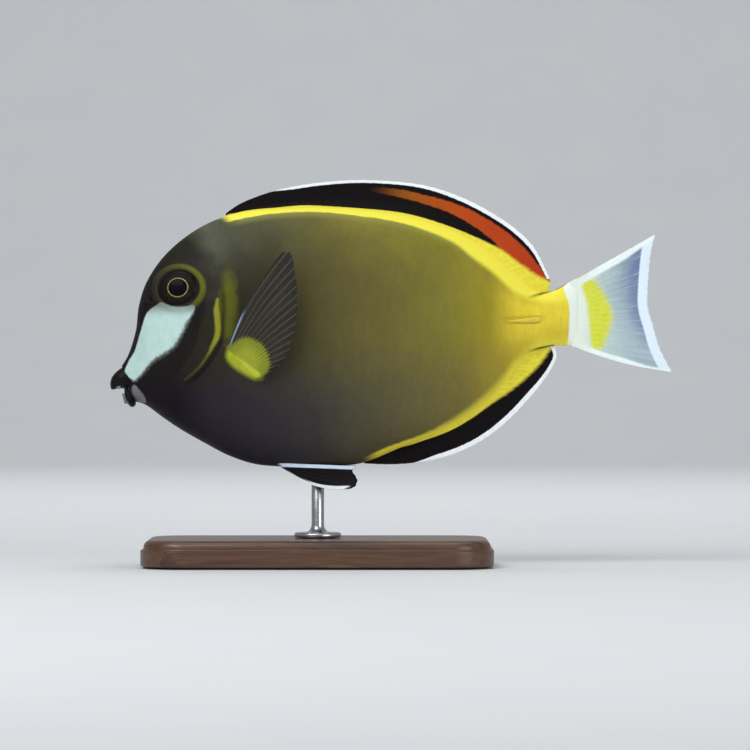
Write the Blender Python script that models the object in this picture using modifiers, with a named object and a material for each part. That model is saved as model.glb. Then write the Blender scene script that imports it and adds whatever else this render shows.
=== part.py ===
"""A Japan surgeonfish at life size, swimming level, held up by one rod on a small display base.

The fish lies along X with its snout towards -X and its left side towards -Y. The floor is z = 0, and the
origin is under the middle of the fish's length. Sizes are in millimetres, and to_world turns them into metres.
A place on the fish is (behind, across, up): the distance behind the tip of the snout, the distance to the
right of the mid plane, and the height above the level line through the middle of the flank.
"""

import math
from operator import itemgetter

import bmesh
import bpy
from mathutils import Matrix, Vector
from mathutils.bvhtree import BVHTree

MM = 0.001
GAP = 0.3
LEFT, RIGHT = -1, 1

TOTAL_LENGTH = 180.0
AXIS_HEIGHT = 74.0

# Body: one row for each section, from the muzzle to the tail fin's root.
# Each row is the section's end on the back, its end on the belly, and half its width.
BODY_ROWS = (
    (3.8, -9.9, 7.9, -21.2, 3.7),
    (6.1, -5.8, 11.8, -22.6, 5.5),
    (8.3, 1.6, 17.0, -26.4, 7.8),
    (9.3, 9.6, 23.0, -30.4, 9.6),
    (12.2, 17.9, 30.4, -34.6, 11.2),
    (18.6, 26.6, 38.1, -38.6, 12.6),
    (28.8, 34.4, 47.0, -41.4, 13.6),
    (41.6, 39.4, 57.6, -42.1, 14.0),
    (57.6, 41.0, 68.8, -41.8, 13.6),
    (75.2, 41.0, 80.0, -41.1, 12.6),
    (92.8, 39.1, 92.8, -36.2, 11.0),
    (108.2, 34.6, 105.6, -31.2, 9.1),
    (120.3, 28.0, 117.8, -24.0, 7.0),
    (129.6, 20.3, 127.4, -14.2, 5.3),
    (136.3, 14.3, 134.7, -6.2, 4.2),
    (141.2, 14.1, 140.8, -3.7, 3.4),
    (146.6, 16.7, 146.6, -3.5, 2.4),
    (149.6, 18.2, 149.6, -4.3, 1.2),
)
RING_POINTS = 36
SECTIONS_PER_ROW = 2
HEAD_ROWS_END = 7
HEAD_SECTIONS_PER_ROW = 3
FULLNESS = 2.3
EDGE_ROUNDNESS = 0.54
MUZZLE_DOME = 0.6
TAIL_DOME = 0.5
PROBE_START = 60.0

# Slabs that cut the trunk reach past it by far: ahead of it, behind it, and above and below it.
SLAB_AHEAD = -30.0
SLAB_BEHIND = 260.0
SLAB_HEIGHT = 70.0

# The line of the gill opening, from the nape to the throat: behind, up.
GILL_EDGE = (
    (33.6, 44.0),
    (34.9, 27.2),
    (36.0, 14.4),
    (36.2, 4.8),
    (35.2, -2.2),
    (32.4, -7.7),
    (28.8, -12.2),
    (24.3, -16.3),
    (19.8, -21.5),
    (15.0, -32.0),
)
GILL_EDGE_STEPS = 3
GILL_COVER_RISE = 0.8
GILL_COVER_REACH = 9.0
GILL_COVER_TOP = 15.0
GILL_COVER_BOTTOM = -17.0
GILL_COVER_FADE = 5.0
GILL_SLIT = 0.42
TAIL_STALK_START = 124.5

EYE_PLACE = (22.4, 14.8)
EYE_LONG_RADIUS = 6.9
EYE_TALL_RADIUS = 6.1
EYE_DEPTH_RADIUS = 3.2
EYE_BULGE = 1.7
EYE_LEAN = 0.35
ORBIT_RIM_LONG = 7.6
ORBIT_RIM_TALL = 6.9
ORBIT_RIM_RADIUS = 0.95
ORBIT_RIM_POINTS = 24
ORBIT_RIM_SINK = 0.35

NOSTRILS = ((12.9, 11.4, 0.55), (11.4, 9.6, 0.45))
NOSTRIL_DEPTH = 1.2

# Upper lip: sections from its root to its front. Each is its top, its bottom and half its width.
UPPER_LIP_ROWS = (
    (5.6, -9.6, 7.6, -16.9, 3.6),
    (3.4, -10.7, 5.4, -17.0, 3.7),
    (1.9, -11.9, 3.6, -17.1, 3.3),
    (0.75, -13.3, 1.9, -17.3, 2.6),
    (0.3, -14.4, 0.95, -17.5, 2.0),
    (0.08, -15.4, 0.35, -17.3, 1.0),
)
LIP_RING_POINTS = 20
LIP_SECTIONS_PER_ROW = 2
PALATE_PLACE = (5.2, -19.2)
PALATE_RADII = (4.3, 2.2, 2.7)
MOUTH_PLACE = (7.4, -19.2)
MOUTH_RADII = (3.4, 2.1, 1.9)

# Lower lip: half of its U, from the corner of the mouth to the middle: behind, across, up, radius.
LOWER_LIP_HALF = (
    (5.5, 3.6, -17.45, 0.6),
    (5.8, 3.5, -18.9, 0.95),
    (6.4, 3.0, -20.3, 1.1),
    (6.9, 2.1, -21.3, 1.15),
    (7.1, 0.9, -21.8, 1.2),
)
TOOTH_RADIUS = 0.42
TOOTH_TIP_RADIUS = 0.22
TOOTH_SIDES = 6
UPPER_TEETH = 10
UPPER_TEETH_FRONT = 2.3
UPPER_TEETH_HALF_WIDTH = 2.4
UPPER_TEETH_DEPTH = 1.92
UPPER_TEETH_ROOT = -16.6
UPPER_TOOTH_LENGTH = 1.3
UPPER_TOOTH_LEAN = 0.2
UPPER_TOOTH_CLOSING = 0.94
LOWER_TEETH = 12
LOWER_TEETH_SPAN = (0.13, 0.87)
LOWER_TOOTH_REACH = 2.3
LOWER_TOOTH_SINK = 0.2
LOWER_TOOTH_RISE = 0.35
LOWER_TOOTH_ROOT_CLOSING = 0.9
LOWER_TOOTH_TIP_CLOSING = 0.8

MEMBRANE_HALF = 0.26
ROOT_SWELL_REACH = 0.35
RIDGE_FADE = 0.65
DORSAL_ROWS_SPAN = (6.65, 14.0)
DORSAL_RAYS = 39
DORSAL_LEAN = 0.10
MEDIAN_FIN_ROWS = 4
LEAN_REARWARD = 1.5
DORSAL_MARGIN = (
    (37.1, 39.0),
    (42.6, 42.5),
    (52.2, 46.0),
    (64.0, 48.4),
    (78.4, 49.6),
    (92.8, 49.0),
    (104.3, 47.0),
    (115.8, 42.6),
    (127.4, 35.8),
    (135.2, 28.7),
    (139.5, 20.8),
    (140.8, 17.0),
    (140.3, 14.8),
)
ANAL_ROWS_SPAN = (9.15, 14.0)
ANAL_RAYS = 30
ANAL_LEAN = 0.10
ANAL_MARGIN = (
    (81.2, -41.1),
    (89.0, -41.4),
    (96.6, -41.0),
    (104.3, -39.8),
    (112.0, -37.4),
    (119.7, -33.4),
    (127.4, -27.4),
    (135.0, -19.4),
    (140.2, -12.6),
    (142.9, -7.6),
    (142.7, -5.3),
)
TAIL_ROOT_TOP = (147.4, 16.8)
TAIL_ROOT_BOTTOM = (147.4, -3.4)
TAIL_RAYS = 18
TAIL_ROWS = 6
TAIL_BOW = 1.2
TAIL_MARGIN = (
    (174.6, 32.3),
    (173.1, 25.3),
    (172.2, 14.4),
    (172.3, 8.6),
    (173.8, 3.2),
    (176.1, -4.4),
    (180.0, -11.9),
)
MEDIAN_FIN_SINK = 2.0
SPINE_RIDGE = 0.34
SOFT_RAY_RIDGE = 0.22
FIN_ROOT_SWELL = 0.45

PECTORAL_ROOT_TOP = (38.1, -5.2)
PECTORAL_ROOT_BOTTOM = (47.0, -13.8)
PECTORAL_RAYS = 16
PECTORAL_ROWS = 6
PECTORAL_ROOT_SWELL = 0.5
PECTORAL_SPREAD = math.radians(17.0)
PECTORAL_BOW = 1.9
PECTORAL_BOW_DIRECTION = (-0.86, 0.5)
PECTORAL_CUP = 1.6
PECTORAL_MARGIN = (
    (56.0, 26.4),
    (58.6, 25.3),
    (59.9, 18.9),
    (60.4, 13.1),
    (60.3, 8.0),
    (59.6, 1.3),
    (57.9, -4.8),
    (55.0, -9.3),
    (51.6, -12.2),
    (49.2, -13.9),
)
PECTORAL_SINK = 1.2

PELVIC_ROOT_FRONT = (53.6, 2.2, -41.0)
PELVIC_ROOT_REAR = (57.6, 1.9, -40.4)
PELVIC_RAYS = 6
PELVIC_ROWS = 5
PELVIC_ROOT_SWELL = 0.35
PELVIC_BOW = 2.9
PELVIC_MARGIN = (
    (76.5, 7.2, -49.1),
    (78.5, 6.9, -48.3),
    (79.2, 6.2, -46.6),
    (78.6, 5.4, -44.6),
    (78.2, 4.7, -42.4),
)

TAIL_SPINE_TIP = (127.6, 4.3)
TAIL_SPINE_ROOT = (137.4, 4.9)
TAIL_SPINE_TAPER = ((0.0, 0.12), (0.25, 0.45), (0.5, 0.72), (0.75, 0.92), (0.9, 0.9), (1.0, 0.6))
TAIL_SPINE_THICKNESS = 1.1
TAIL_SPINE_PROUD = 0.1

ROD_BEHIND = 66.5
ROD_BODY_ROW = 7.8
ROD_RADIUS = 2.0
ROD_DEPTH_IN_BELLY = 7.0
ROD_SIDES = 20
ROD_END_CHAMFER = 0.4
FOOT_RADIUS = 7.5
FOOT_HEIGHT = 1.6
FOOT_CHAMFER = 0.5
FOOT_NECK = ((0.0, 3.52), (0.5, 2.24), (1.6, 1.6))
BASE_LENGTH = 112.0
BASE_WIDTH = 60.0
BASE_HEIGHT = 9.0
BASE_CORNER = 14.0
BASE_CORNER_SEGMENTS = 7
BASE_CHAMFER = 2.2
BASE_CHAMFER_SEGMENTS = 3

SHARP_ANGLE = math.radians(35)

# Colours in linear light, then roughness.
FINISHES = {
    "flank": ((0.12, 0.11, 0.045), 0.55),
    "head": ((0.03, 0.029, 0.022), 0.55),
    "lip": ((0.01, 0.009, 0.012), 0.5),
    "stalk": ((0.75, 0.6, 0.06), 0.5),
    "dark_fin": ((0.009, 0.006, 0.008), 0.5),
    "tail_fin": ((0.42, 0.48, 0.56), 0.45),
    "pectoral": ((0.1, 0.1, 0.05), 0.45),
    "eye": ((0.008, 0.007, 0.01), 0.1),
    "spine": ((0.8, 0.75, 0.5), 0.35),
    "walnut": ((0.07, 0.032, 0.014), 0.4),
    "steel": ((0.62, 0.62, 0.63), 0.3),
}


def to_world(place):
    """The point in metres of a place on the fish in millimetres."""
    behind, across, up = place
    return Vector((behind - TOTAL_LENGTH / 2, across, AXIS_HEIGHT + up)) * MM


def spline(rows, position):
    """The row at a real-numbered index, on a Catmull-Rom curve through the rows."""
    last = len(rows) - 1
    position = min(max(position, 0.0), float(last))
    index = min(int(position), last - 1)
    t = position - index
    before, here, after, beyond = (
        rows[min(max(index + step, 0), last)] for step in (-1, 0, 1, 2)
    )
    return tuple(
        0.5 * (2 * b + (c - a) * t + (2 * a - 5 * b + 4 * c - d) * t**2 + (3 * b - a - 3 * c + d) * t**3)
        for a, b, c, d in zip(before, here, after, beyond)
    )


def along(rows, share, steps=240):
    """The point at that share of the length of the smooth curve through the rows."""
    points = [Vector(spline(rows, (len(rows) - 1) * i / steps)) for i in range(steps + 1)]
    lengths = [0.0]
    for first, second in zip(points, points[1:]):
        lengths.append(lengths[-1] + (second - first).length)
    target = min(max(share, 0.0), 1.0) * lengths[-1]
    for i in range(steps):
        if lengths[i + 1] >= target:
            part = (target - lengths[i]) / max(lengths[i + 1] - lengths[i], 1e-9)
            return points[i].lerp(points[i + 1], part)
    return points[-1]


def smooth_step(value):
    """0 below 0, 1 above 1, and smooth between."""
    value = min(max(value, 0.0), 1.0)
    return value * value * (3 - 2 * value)


def gill_line(shift=0.0):
    """The smooth line of the gill opening as points from the nape to the throat, shifted backwards."""
    steps = GILL_EDGE_STEPS * (len(GILL_EDGE) - 1)
    points = [spline(GILL_EDGE, i / GILL_EDGE_STEPS) for i in range(steps + 1)]
    return [(behind + shift, up) for behind, up in points]


def gill_edge_behind(up):
    """How far behind the snout the gill opening is, at a height."""
    for (upper_x, upper_z), (lower_x, lower_z) in zip(GILL_EDGE, GILL_EDGE[1:]):
        if up >= lower_z:
            share = (upper_z - up) / (upper_z - lower_z)
            return upper_x + (lower_x - upper_x) * min(max(share, 0.0), 1.0)
    return GILL_EDGE[-1][0]


def gill_cover_rise(behind, up):
    """How far the gill cover stands out of the head: most at its rear edge."""
    ahead = gill_edge_behind(up) - behind
    rise = 1.0 - smooth_step(ahead / GILL_COVER_REACH)
    upper = smooth_step((GILL_COVER_TOP - up) / GILL_COVER_FADE)
    lower = smooth_step((up - GILL_COVER_BOTTOM) / GILL_COVER_FADE)
    return GILL_COVER_RISE * rise * upper * lower


def ring(row, points, grow=0.0, relief=None):
    """The places round one section of a loft, from the top down the left side and up the right."""
    top = Vector((row[0], row[1]))
    bottom = Vector((row[2], row[3]))
    middle = (top + bottom) / 2
    half = (top - bottom) / 2
    half *= (half.length + grow) / half.length
    places = []
    for i in range(points):
        angle = 2 * math.pi * i / points
        height = math.cos(angle)
        share = max(1.0 - abs(height) ** FULLNESS, 0.0) ** EDGE_ROUNDNESS
        spot = middle + half * height
        width = row[4] + grow
        if relief:
            width += relief(spot.x, spot.y)
        side = LEFT if angle < math.pi else RIGHT
        places.append((spot.x, side * width * share, spot.y))
    return places


def closed_mesh(name, places, faces):
    """An object from places on the fish, with its faces turned outwards."""
    mesh = bpy.data.meshes.new(name)
    mesh.from_pydata([to_world(place) for place in places], [], faces)
    obj = bpy.data.objects.new(name, mesh)
    bpy.context.scene.collection.objects.link(obj)
    face_outwards(obj)
    return obj


def face_outwards(obj):
    """Turns the faces of a closed mesh outwards."""
    work = bmesh.new()
    work.from_mesh(obj.data)
    bmesh.ops.recalc_face_normals(work, faces=work.faces)
    if work.calc_volume(signed=True) < 0:
        bmesh.ops.reverse_faces(work, faces=work.faces)
    work.to_mesh(obj.data)
    work.free()


def loft(name, rows, positions, points, grow=0.0, relief=None, domes=(0.0, 0.0)):
    """A closed body through the sections at those positions along the rows, with a low dome on each end."""
    rings = [ring(spline(rows, position), points, grow, relief) for position in positions]
    places = [place for section in rings for place in section]
    faces = []
    for i in range(len(rings) - 1):
        for j in range(points):
            k = (j + 1) % points
            faces.append((i * points + j, i * points + k, (i + 1) * points + k, (i + 1) * points + j))
    for index, dome in zip((0, len(rings) - 1), domes):
        inner = rings[1] if index == 0 else rings[-2]
        centre = sum((Vector(place) for place in rings[index]), Vector()) / points
        behind = sum((Vector(place) for place in inner), Vector()) / points
        outwards = (centre - behind).normalized()
        places.append(tuple(centre + outwards * (dome + grow)))
        for j in range(points):
            faces.append((index * points + j, index * points + (j + 1) % points, len(places) - 1))
    return closed_mesh(name, places, faces)


def body_positions():
    """Positions of the body's sections along its rows, closer together in the head."""
    last = len(BODY_ROWS) - 1
    head = [i / HEAD_SECTIONS_PER_ROW for i in range(HEAD_ROWS_END * HEAD_SECTIONS_PER_ROW)]
    rest = (last - HEAD_ROWS_END) * SECTIONS_PER_ROW
    return head + [HEAD_ROWS_END + i / SECTIONS_PER_ROW for i in range(rest + 1)]


def body_solid(name, grow=0.0, relief=None):
    """The whole trunk of the fish, grown outwards by a distance."""
    return loft(
        name, BODY_ROWS, body_positions(), RING_POINTS, grow, relief, domes=(MUZZLE_DOME, TAIL_DOME)
    )


def settle(obj):
    """Replaces an object's mesh by its evaluated one, with no modifier left."""
    graph = bpy.context.evaluated_depsgraph_get()
    mesh = bpy.data.meshes.new_from_object(obj.evaluated_get(graph))
    obj.modifiers.clear()
    obj.data = mesh


def combine(obj, other, operation):
    """Applies one Boolean to obj and removes the other object."""
    modifier = obj.modifiers.new(operation.title(), "BOOLEAN")
    modifier.operation = operation
    modifier.object = other
    modifier.solver = "MANIFOLD"
    settle(obj)
    bpy.data.objects.remove(other)


def fuse(obj, others):
    """Joins closed pieces to obj in one union and keeps the largest closed surface."""
    pieces = bpy.data.collections.new("pieces")
    bpy.context.scene.collection.children.link(pieces)
    for other in others:
        pieces.objects.link(other)
    modifier = obj.modifiers.new("Union", "BOOLEAN")
    modifier.operation = "UNION"
    modifier.operand_type = "COLLECTION"
    modifier.collection = pieces
    modifier.solver = "MANIFOLD"
    settle(obj)
    for other in others:
        bpy.data.objects.remove(other)
    bpy.data.collections.remove(pieces)
    keep_largest(obj)


def keep_largest(obj):
    """Keeps only the largest closed surface of a mesh."""
    work = bmesh.new()
    work.from_mesh(obj.data)
    seen = set()
    shells = []
    for start in work.faces:
        if start in seen:
            continue
        shell, queue = [], [start]
        seen.add(start)
        while queue:
            face = queue.pop()
            shell.append(face)
            for edge in face.edges:
                for neighbour in edge.link_faces:
                    if neighbour not in seen:
                        seen.add(neighbour)
                        queue.append(neighbour)
        shells.append(shell)
    shells.sort(key=shell_size, reverse=True)
    spare = [face for shell in shells[1:] for face in shell]
    bmesh.ops.delete(work, geom=spare, context="FACES")
    work.to_mesh(obj.data)
    work.free()


def shell_size(faces):
    """The diagonal of the box round some faces."""
    points = [vertex.co for face in faces for vertex in face.verts]
    return (Vector(map(max, zip(*points))) - Vector(map(min, zip(*points)))).length


def prism(name, outline, half_width=40.0):
    """A slab across the fish whose side view is an outline of (behind, up) points."""
    curve = bpy.data.curves.new(name, "CURVE")
    curve.dimensions = "2D"
    curve.fill_mode = "BOTH"
    curve.extrude = half_width * MM
    line = curve.splines.new("POLY")
    line.points.add(len(outline) - 1)
    for point, (behind, up) in zip(line.points, outline):
        spot = to_world((behind, 0.0, up))
        point.co = (spot.x, spot.z, 0.0, 1.0)
    line.use_cyclic_u = True
    holder = bpy.data.objects.new(name, curve)
    bpy.context.scene.collection.objects.link(holder)
    holder.rotation_euler = (math.pi / 2, 0.0, 0.0)
    return curve_to_mesh(holder)


def curve_to_mesh(holder):
    """A welded mesh object from a curve object, in the same place."""
    bpy.context.view_layer.update()
    graph = bpy.context.evaluated_depsgraph_get()
    mesh = bpy.data.meshes.new_from_object(holder.evaluated_get(graph))
    mesh.transform(holder.matrix_world)
    name = holder.name
    bpy.data.objects.remove(holder)
    obj = bpy.data.objects.new(name, mesh)
    bpy.context.scene.collection.objects.link(obj)
    work = bmesh.new()
    work.from_mesh(mesh)
    bmesh.ops.remove_doubles(work, verts=work.verts, dist=1e-6)
    work.to_mesh(mesh)
    work.free()
    face_outwards(obj)
    return obj


def ellipsoid(name, place, radii, turn=None, segments=20, rings=12):
    """A ball with three radii about a place on the fish, turned by a matrix if one is given."""
    work = bmesh.new()
    bmesh.ops.create_uvsphere(work, u_segments=segments, v_segments=rings, radius=1.0)
    bmesh.ops.scale(work, verts=work.verts, vec=Vector(radii) * MM)
    if turn:
        bmesh.ops.rotate(work, verts=work.verts, cent=(0, 0, 0), matrix=turn)
    bmesh.ops.translate(work, verts=work.verts, vec=to_world(place))
    mesh = bpy.data.meshes.new(name)
    work.to_mesh(mesh)
    work.free()
    obj = bpy.data.objects.new(name, mesh)
    bpy.context.scene.collection.objects.link(obj)
    return obj


def cone(name, start, end, start_radius, end_radius, sides=8, flatten=1.0):
    """A tapered round bar between two places on the fish, its width across the fish times flatten."""
    first, second = to_world(start), to_world(end)
    axis = second - first
    work = bmesh.new()
    bmesh.ops.create_cone(
        work,
        cap_ends=True,
        segments=sides,
        radius1=start_radius * MM,
        radius2=end_radius * MM,
        depth=axis.length,
    )
    bmesh.ops.rotate(
        work, verts=work.verts, cent=(0, 0, 0), matrix=axis.to_track_quat("Z", "Y").to_matrix()
    )
    bmesh.ops.scale(work, verts=work.verts, vec=(1.0, flatten, 1.0))
    bmesh.ops.translate(work, verts=work.verts, vec=(first + second) / 2)
    mesh = bpy.data.meshes.new(name)
    work.to_mesh(mesh)
    work.free()
    obj = bpy.data.objects.new(name, mesh)
    bpy.context.scene.collection.objects.link(obj)
    return obj


class Flank:
    """The surface of the trunk, asked for its width at a place in the side view."""

    def __init__(self):
        solid = body_solid("flank_probe", relief=gill_cover_rise)
        work = bmesh.new()
        work.from_mesh(solid.data)
        self.tree = BVHTree.FromBMesh(work)
        work.free()
        bpy.data.objects.remove(solid)

    def at(self, behind, up, side):
        """The place on the skin and its outward direction."""
        start = to_world((behind, side * PROBE_START, up))
        spot, normal, _, _ = self.tree.ray_cast(start, Vector((0.0, -side, 0.0)))
        return (behind, spot.y / MM, up), normal


def head_solid(flank):
    """The head: the front of the trunk with its gill covers, eye sockets, nostrils and mouth."""
    head = body_solid("head", relief=gill_cover_rise)
    combine(head, prism("front", front_outline(0.0)), "INTERSECT")
    rims = [orbit_rim(flank, side) for side in (LEFT, RIGHT)]
    fuse(head, rims)
    for side in (LEFT, RIGHT):
        combine(head, eye_ball("socket", flank, side, GAP), "DIFFERENCE")
        for behind, up, radius in NOSTRILS:
            (_, across, _), _ = flank.at(behind, up, side)
            inner = (behind, across - side * NOSTRIL_DEPTH, up)
            outer = (behind, across + side * NOSTRIL_DEPTH, up)
            combine(head, cone("nostril", inner, outer, radius, radius), "DIFFERENCE")
    behind, up = MOUTH_PLACE
    combine(head, ellipsoid("mouth", (behind, 0.0, up), MOUTH_RADII, segments=16, rings=10), "DIFFERENCE")
    keep_largest(head)
    return head


def front_outline(shift):
    """The side view of all that lies ahead of the gill opening, its edge shifted backwards."""
    return [(SLAB_AHEAD, -SLAB_HEIGHT), (SLAB_AHEAD, SLAB_HEIGHT)] + gill_line(shift)


def eye_frame(flank, side):
    """Where the eye sits on the skin, and the matrix that turns +Y of an upright eye outwards."""
    spot, normal = flank.at(*EYE_PLACE, side)
    outwards = (normal * (1 - EYE_LEAN) + Vector((0.0, side, 0.0)) * EYE_LEAN).normalized()
    turn = Vector((0.0, side, 0.0)).rotation_difference(outwards).to_matrix()
    return Vector(spot), outwards, turn


def eye_ball(name, flank, side, grow=0.0):
    """The eye as a flattened ball that bulges from its socket."""
    spot, outwards, turn = eye_frame(flank, side)
    centre = spot + outwards * (EYE_BULGE - EYE_DEPTH_RADIUS)
    radii = (EYE_LONG_RADIUS + grow, EYE_DEPTH_RADIUS + grow, EYE_TALL_RADIUS + grow)
    return ellipsoid(name, tuple(centre), radii, turn)


def tube(name, spots, closed, resolution):
    """A round tube through (place on the fish, radius) pairs."""
    curve = bpy.data.curves.new(name, "CURVE")
    curve.dimensions = "3D"
    curve.bevel_depth = MM
    curve.bevel_resolution = resolution
    curve.use_fill_caps = not closed
    line = curve.splines.new("POLY")
    line.points.add(len(spots) - 1)
    line.use_cyclic_u = closed
    for point, (place, radius) in zip(line.points, spots):
        point.co = (*to_world(place), 1.0)
        point.radius = radius
    holder = bpy.data.objects.new(name, curve)
    bpy.context.scene.collection.objects.link(holder)
    return curve_to_mesh(holder)


def orbit_rim(flank, side):
    """The raised rim of skin round one eye, a ring half sunk in the head."""
    spots = []
    for i in range(ORBIT_RIM_POINTS):
        angle = 2 * math.pi * i / ORBIT_RIM_POINTS
        behind = EYE_PLACE[0] + ORBIT_RIM_LONG * math.cos(angle)
        up = EYE_PLACE[1] + ORBIT_RIM_TALL * math.sin(angle)
        spot, normal = flank.at(behind, up, side)
        spots.append((tuple(Vector(spot) - normal * ORBIT_RIM_SINK), ORBIT_RIM_RADIUS))
    return tube("orbit_rim", spots, closed=True, resolution=1)


def upper_lip(grown_head):
    """The upper lip and jaw: a hood over the mouth, hollow below, with its teeth."""
    last = len(UPPER_LIP_ROWS) - 1
    positions = [i / LIP_SECTIONS_PER_ROW for i in range(last * LIP_SECTIONS_PER_ROW + 1)]
    lip = loft("upper_lip", UPPER_LIP_ROWS, positions, LIP_RING_POINTS, domes=(0.0, 0.08))
    behind, up = PALATE_PLACE
    palate = ellipsoid("palate", (behind, 0.0, up), PALATE_RADII, segments=16, rings=10)
    combine(lip, palate, "DIFFERENCE")
    teeth = []
    for i in range(UPPER_TEETH):
        angle = math.pi * ((i + 0.5) / UPPER_TEETH - 0.5)
        behind = UPPER_TEETH_FRONT + UPPER_TEETH_DEPTH * (1 - math.cos(angle))
        across = UPPER_TEETH_HALF_WIDTH * math.sin(angle)
        root = (behind, across, UPPER_TEETH_ROOT)
        low = UPPER_TEETH_ROOT - UPPER_TOOTH_LENGTH
        tip = (behind - UPPER_TOOTH_LEAN, across * UPPER_TOOTH_CLOSING, low)
        teeth.append(cone("tooth", root, tip, TOOTH_RADIUS, TOOTH_TIP_RADIUS, TOOTH_SIDES))
    fuse(lip, teeth)
    combine(lip, grown_head("head_cut"), "DIFFERENCE")
    keep_largest(lip)
    return lip


def lower_lip_rows():
    """The whole U of the lower lip, from its right corner round to its left one."""
    left = [(behind, -across, up, radius) for behind, across, up, radius in reversed(LOWER_LIP_HALF)]
    return list(LOWER_LIP_HALF) + left


def lower_lip(grown_head):
    """The lower lip as a thick U below the mouth, with its teeth."""
    rows = lower_lip_rows()
    spots = []
    for i in range(2 * len(rows) - 1):
        behind, across, up, radius = spline(rows, i / 2)
        spots.append(((behind, across, up), radius))
    lip = tube("lower_lip", spots, closed=False, resolution=1)
    teeth = []
    first, last = LOWER_TEETH_SPAN
    for i in range(LOWER_TEETH):
        share = first + (last - first) * (i + 0.5) / LOWER_TEETH
        behind, across, up = along([row[:3] for row in rows], share)
        root = (behind + LOWER_TOOTH_SINK, across * LOWER_TOOTH_ROOT_CLOSING, up)
        tip = (behind - LOWER_TOOTH_REACH, across * LOWER_TOOTH_TIP_CLOSING, up + LOWER_TOOTH_RISE)
        teeth.append(cone("tooth", root, tip, TOOTH_RADIUS, TOOTH_TIP_RADIUS, TOOTH_SIDES))
    fuse(lip, teeth)
    combine(lip, grown_head("head_cut"), "DIFFERENCE")
    keep_largest(lip)
    return lip


def torso_solid():
    """The trunk between the gill openings and the tail stalk, with the rod's socket in its belly."""
    torso = body_solid("torso")
    combine(torso, prism("front", front_outline(GILL_SLIT)), "DIFFERENCE")
    combine(torso, prism("rear", stalk_outline(-GAP / 2)), "DIFFERENCE")
    socket = cone("socket", *rod_ends(GAP), ROD_RADIUS + GAP, ROD_RADIUS + GAP, ROD_SIDES)
    combine(torso, socket, "DIFFERENCE")
    keep_largest(torso)
    return torso


def stalk_outline(shift):
    """The side view of all that lies behind the start of the tail stalk."""
    start = TAIL_STALK_START + shift
    ends = ((start, -1), (start, 1), (SLAB_BEHIND, 1), (SLAB_BEHIND, -1))
    return [(behind, way * SLAB_HEIGHT) for behind, way in ends]


def rod_ends(grow=0.0):
    """The rod's lower end on its foot and its upper end in the belly."""
    bottom = BASE_HEIGHT + GAP - AXIS_HEIGHT
    belly = spline(BODY_ROWS, ROD_BODY_ROW)[3]
    return (ROD_BEHIND, 0.0, bottom - grow), (ROD_BEHIND, 0.0, belly + ROD_DEPTH_IN_BELLY + grow)


def tail_spine(name, flank, side, grow=0.0):
    """The folding spine on the side of the tail stalk: a flat blade that lies with its point forwards."""
    tip = Vector(flank.at(*TAIL_SPINE_TIP, side)[0])
    root = Vector(flank.at(*TAIL_SPINE_ROOT, side)[0])
    proud = Vector((0.0, side * TAIL_SPINE_PROUD, 0.0))
    stretch = (root - tip).normalized() * grow
    last = len(TAIL_SPINE_TAPER) - 1
    spots = []
    for i, (share, radius) in enumerate(TAIL_SPINE_TAPER):
        end = (i == last) - (i == 0)
        spots.append((tip.lerp(root, share) + proud + stretch * end, radius + grow))
    spine = tube(name, spots, closed=False, resolution=1)
    slope = (root.y - tip.y) / (root.x - tip.x)
    start = to_world(tip + proud)
    flatness = (TAIL_SPINE_THICKNESS / 2 + grow) / (max(TAIL_SPINE_TAPER, key=itemgetter(1))[1] + grow)
    for vertex in spine.data.vertices:
        middle = start.y + (vertex.co.x - start.x) * slope
        vertex.co.y = middle + (vertex.co.y - middle) * flatness
    return spine


def stalk_solid(flank):
    """The tail stalk, with the groove of each folding spine."""
    stalk = body_solid("tail_stalk")
    combine(stalk, prism("rear", stalk_outline(GAP / 2)), "INTERSECT")
    for side in (LEFT, RIGHT):
        combine(stalk, tail_spine("groove", flank, side, GAP), "DIFFERENCE")
    keep_largest(stalk)
    return stalk


def blade(name, centre, normal, half_thickness, rays, rows):
    """A fin: a thin sheet with a ridge on both faces along each ray.

    centre, normal and half_thickness are functions of the share along the root and the share out to the
    margin. Both faces are split into triangles alike, so that they never cross.
    """
    columns = 2 * rays + 1
    faces_places = ([], [])
    for i in range(rows + 1):
        for j in range(columns):
            u, v = j / (columns - 1), i / rows
            spot = Vector(centre(u, v))
            offset = Vector(normal(u, v)) * half_thickness(u, v, j % 2 == 1)
            faces_places[0].append(tuple(spot + offset))
            faces_places[1].append(tuple(spot - offset))
    places = faces_places[0] + faces_places[1]
    shift = len(faces_places[0])
    faces = []
    for i in range(rows):
        for j in range(columns - 1):
            a, b = i * columns + j, i * columns + j + 1
            c, d = b + columns, a + columns
            faces += [(a, b, c), (a, c, d), (a + shift, c + shift, b + shift), (a + shift, d + shift, c + shift)]
    rim = [j for j in range(columns)]
    rim += [i * columns + columns - 1 for i in range(1, rows + 1)]
    rim += [rows * columns + j for j in range(columns - 2, -1, -1)]
    rim += [i * columns for i in range(rows - 1, 0, -1)]
    for first, second in zip(rim, rim[1:] + rim[:1]):
        faces += [(first, first + shift, second + shift), (first, second + shift, second)]
    return closed_mesh(name, places, faces)


def ridged(ridge, root_swell=FIN_ROOT_SWELL):
    """A thickness rule: a thin membrane, thicker at its root, with ridges that fade to the margin."""

    def half_thickness(u, v, on_ray):
        base = MEMBRANE_HALF + root_swell * (1 - smooth_step(v / ROOT_SWELL_REACH))
        return base + (ridge * (1 - RIDGE_FADE * v) if on_ray else 0.0)

    return half_thickness


def across_fish(u, v):
    """The normal of a fin that lies in the mid plane."""
    return (0.0, 1.0, 0.0)


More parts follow.
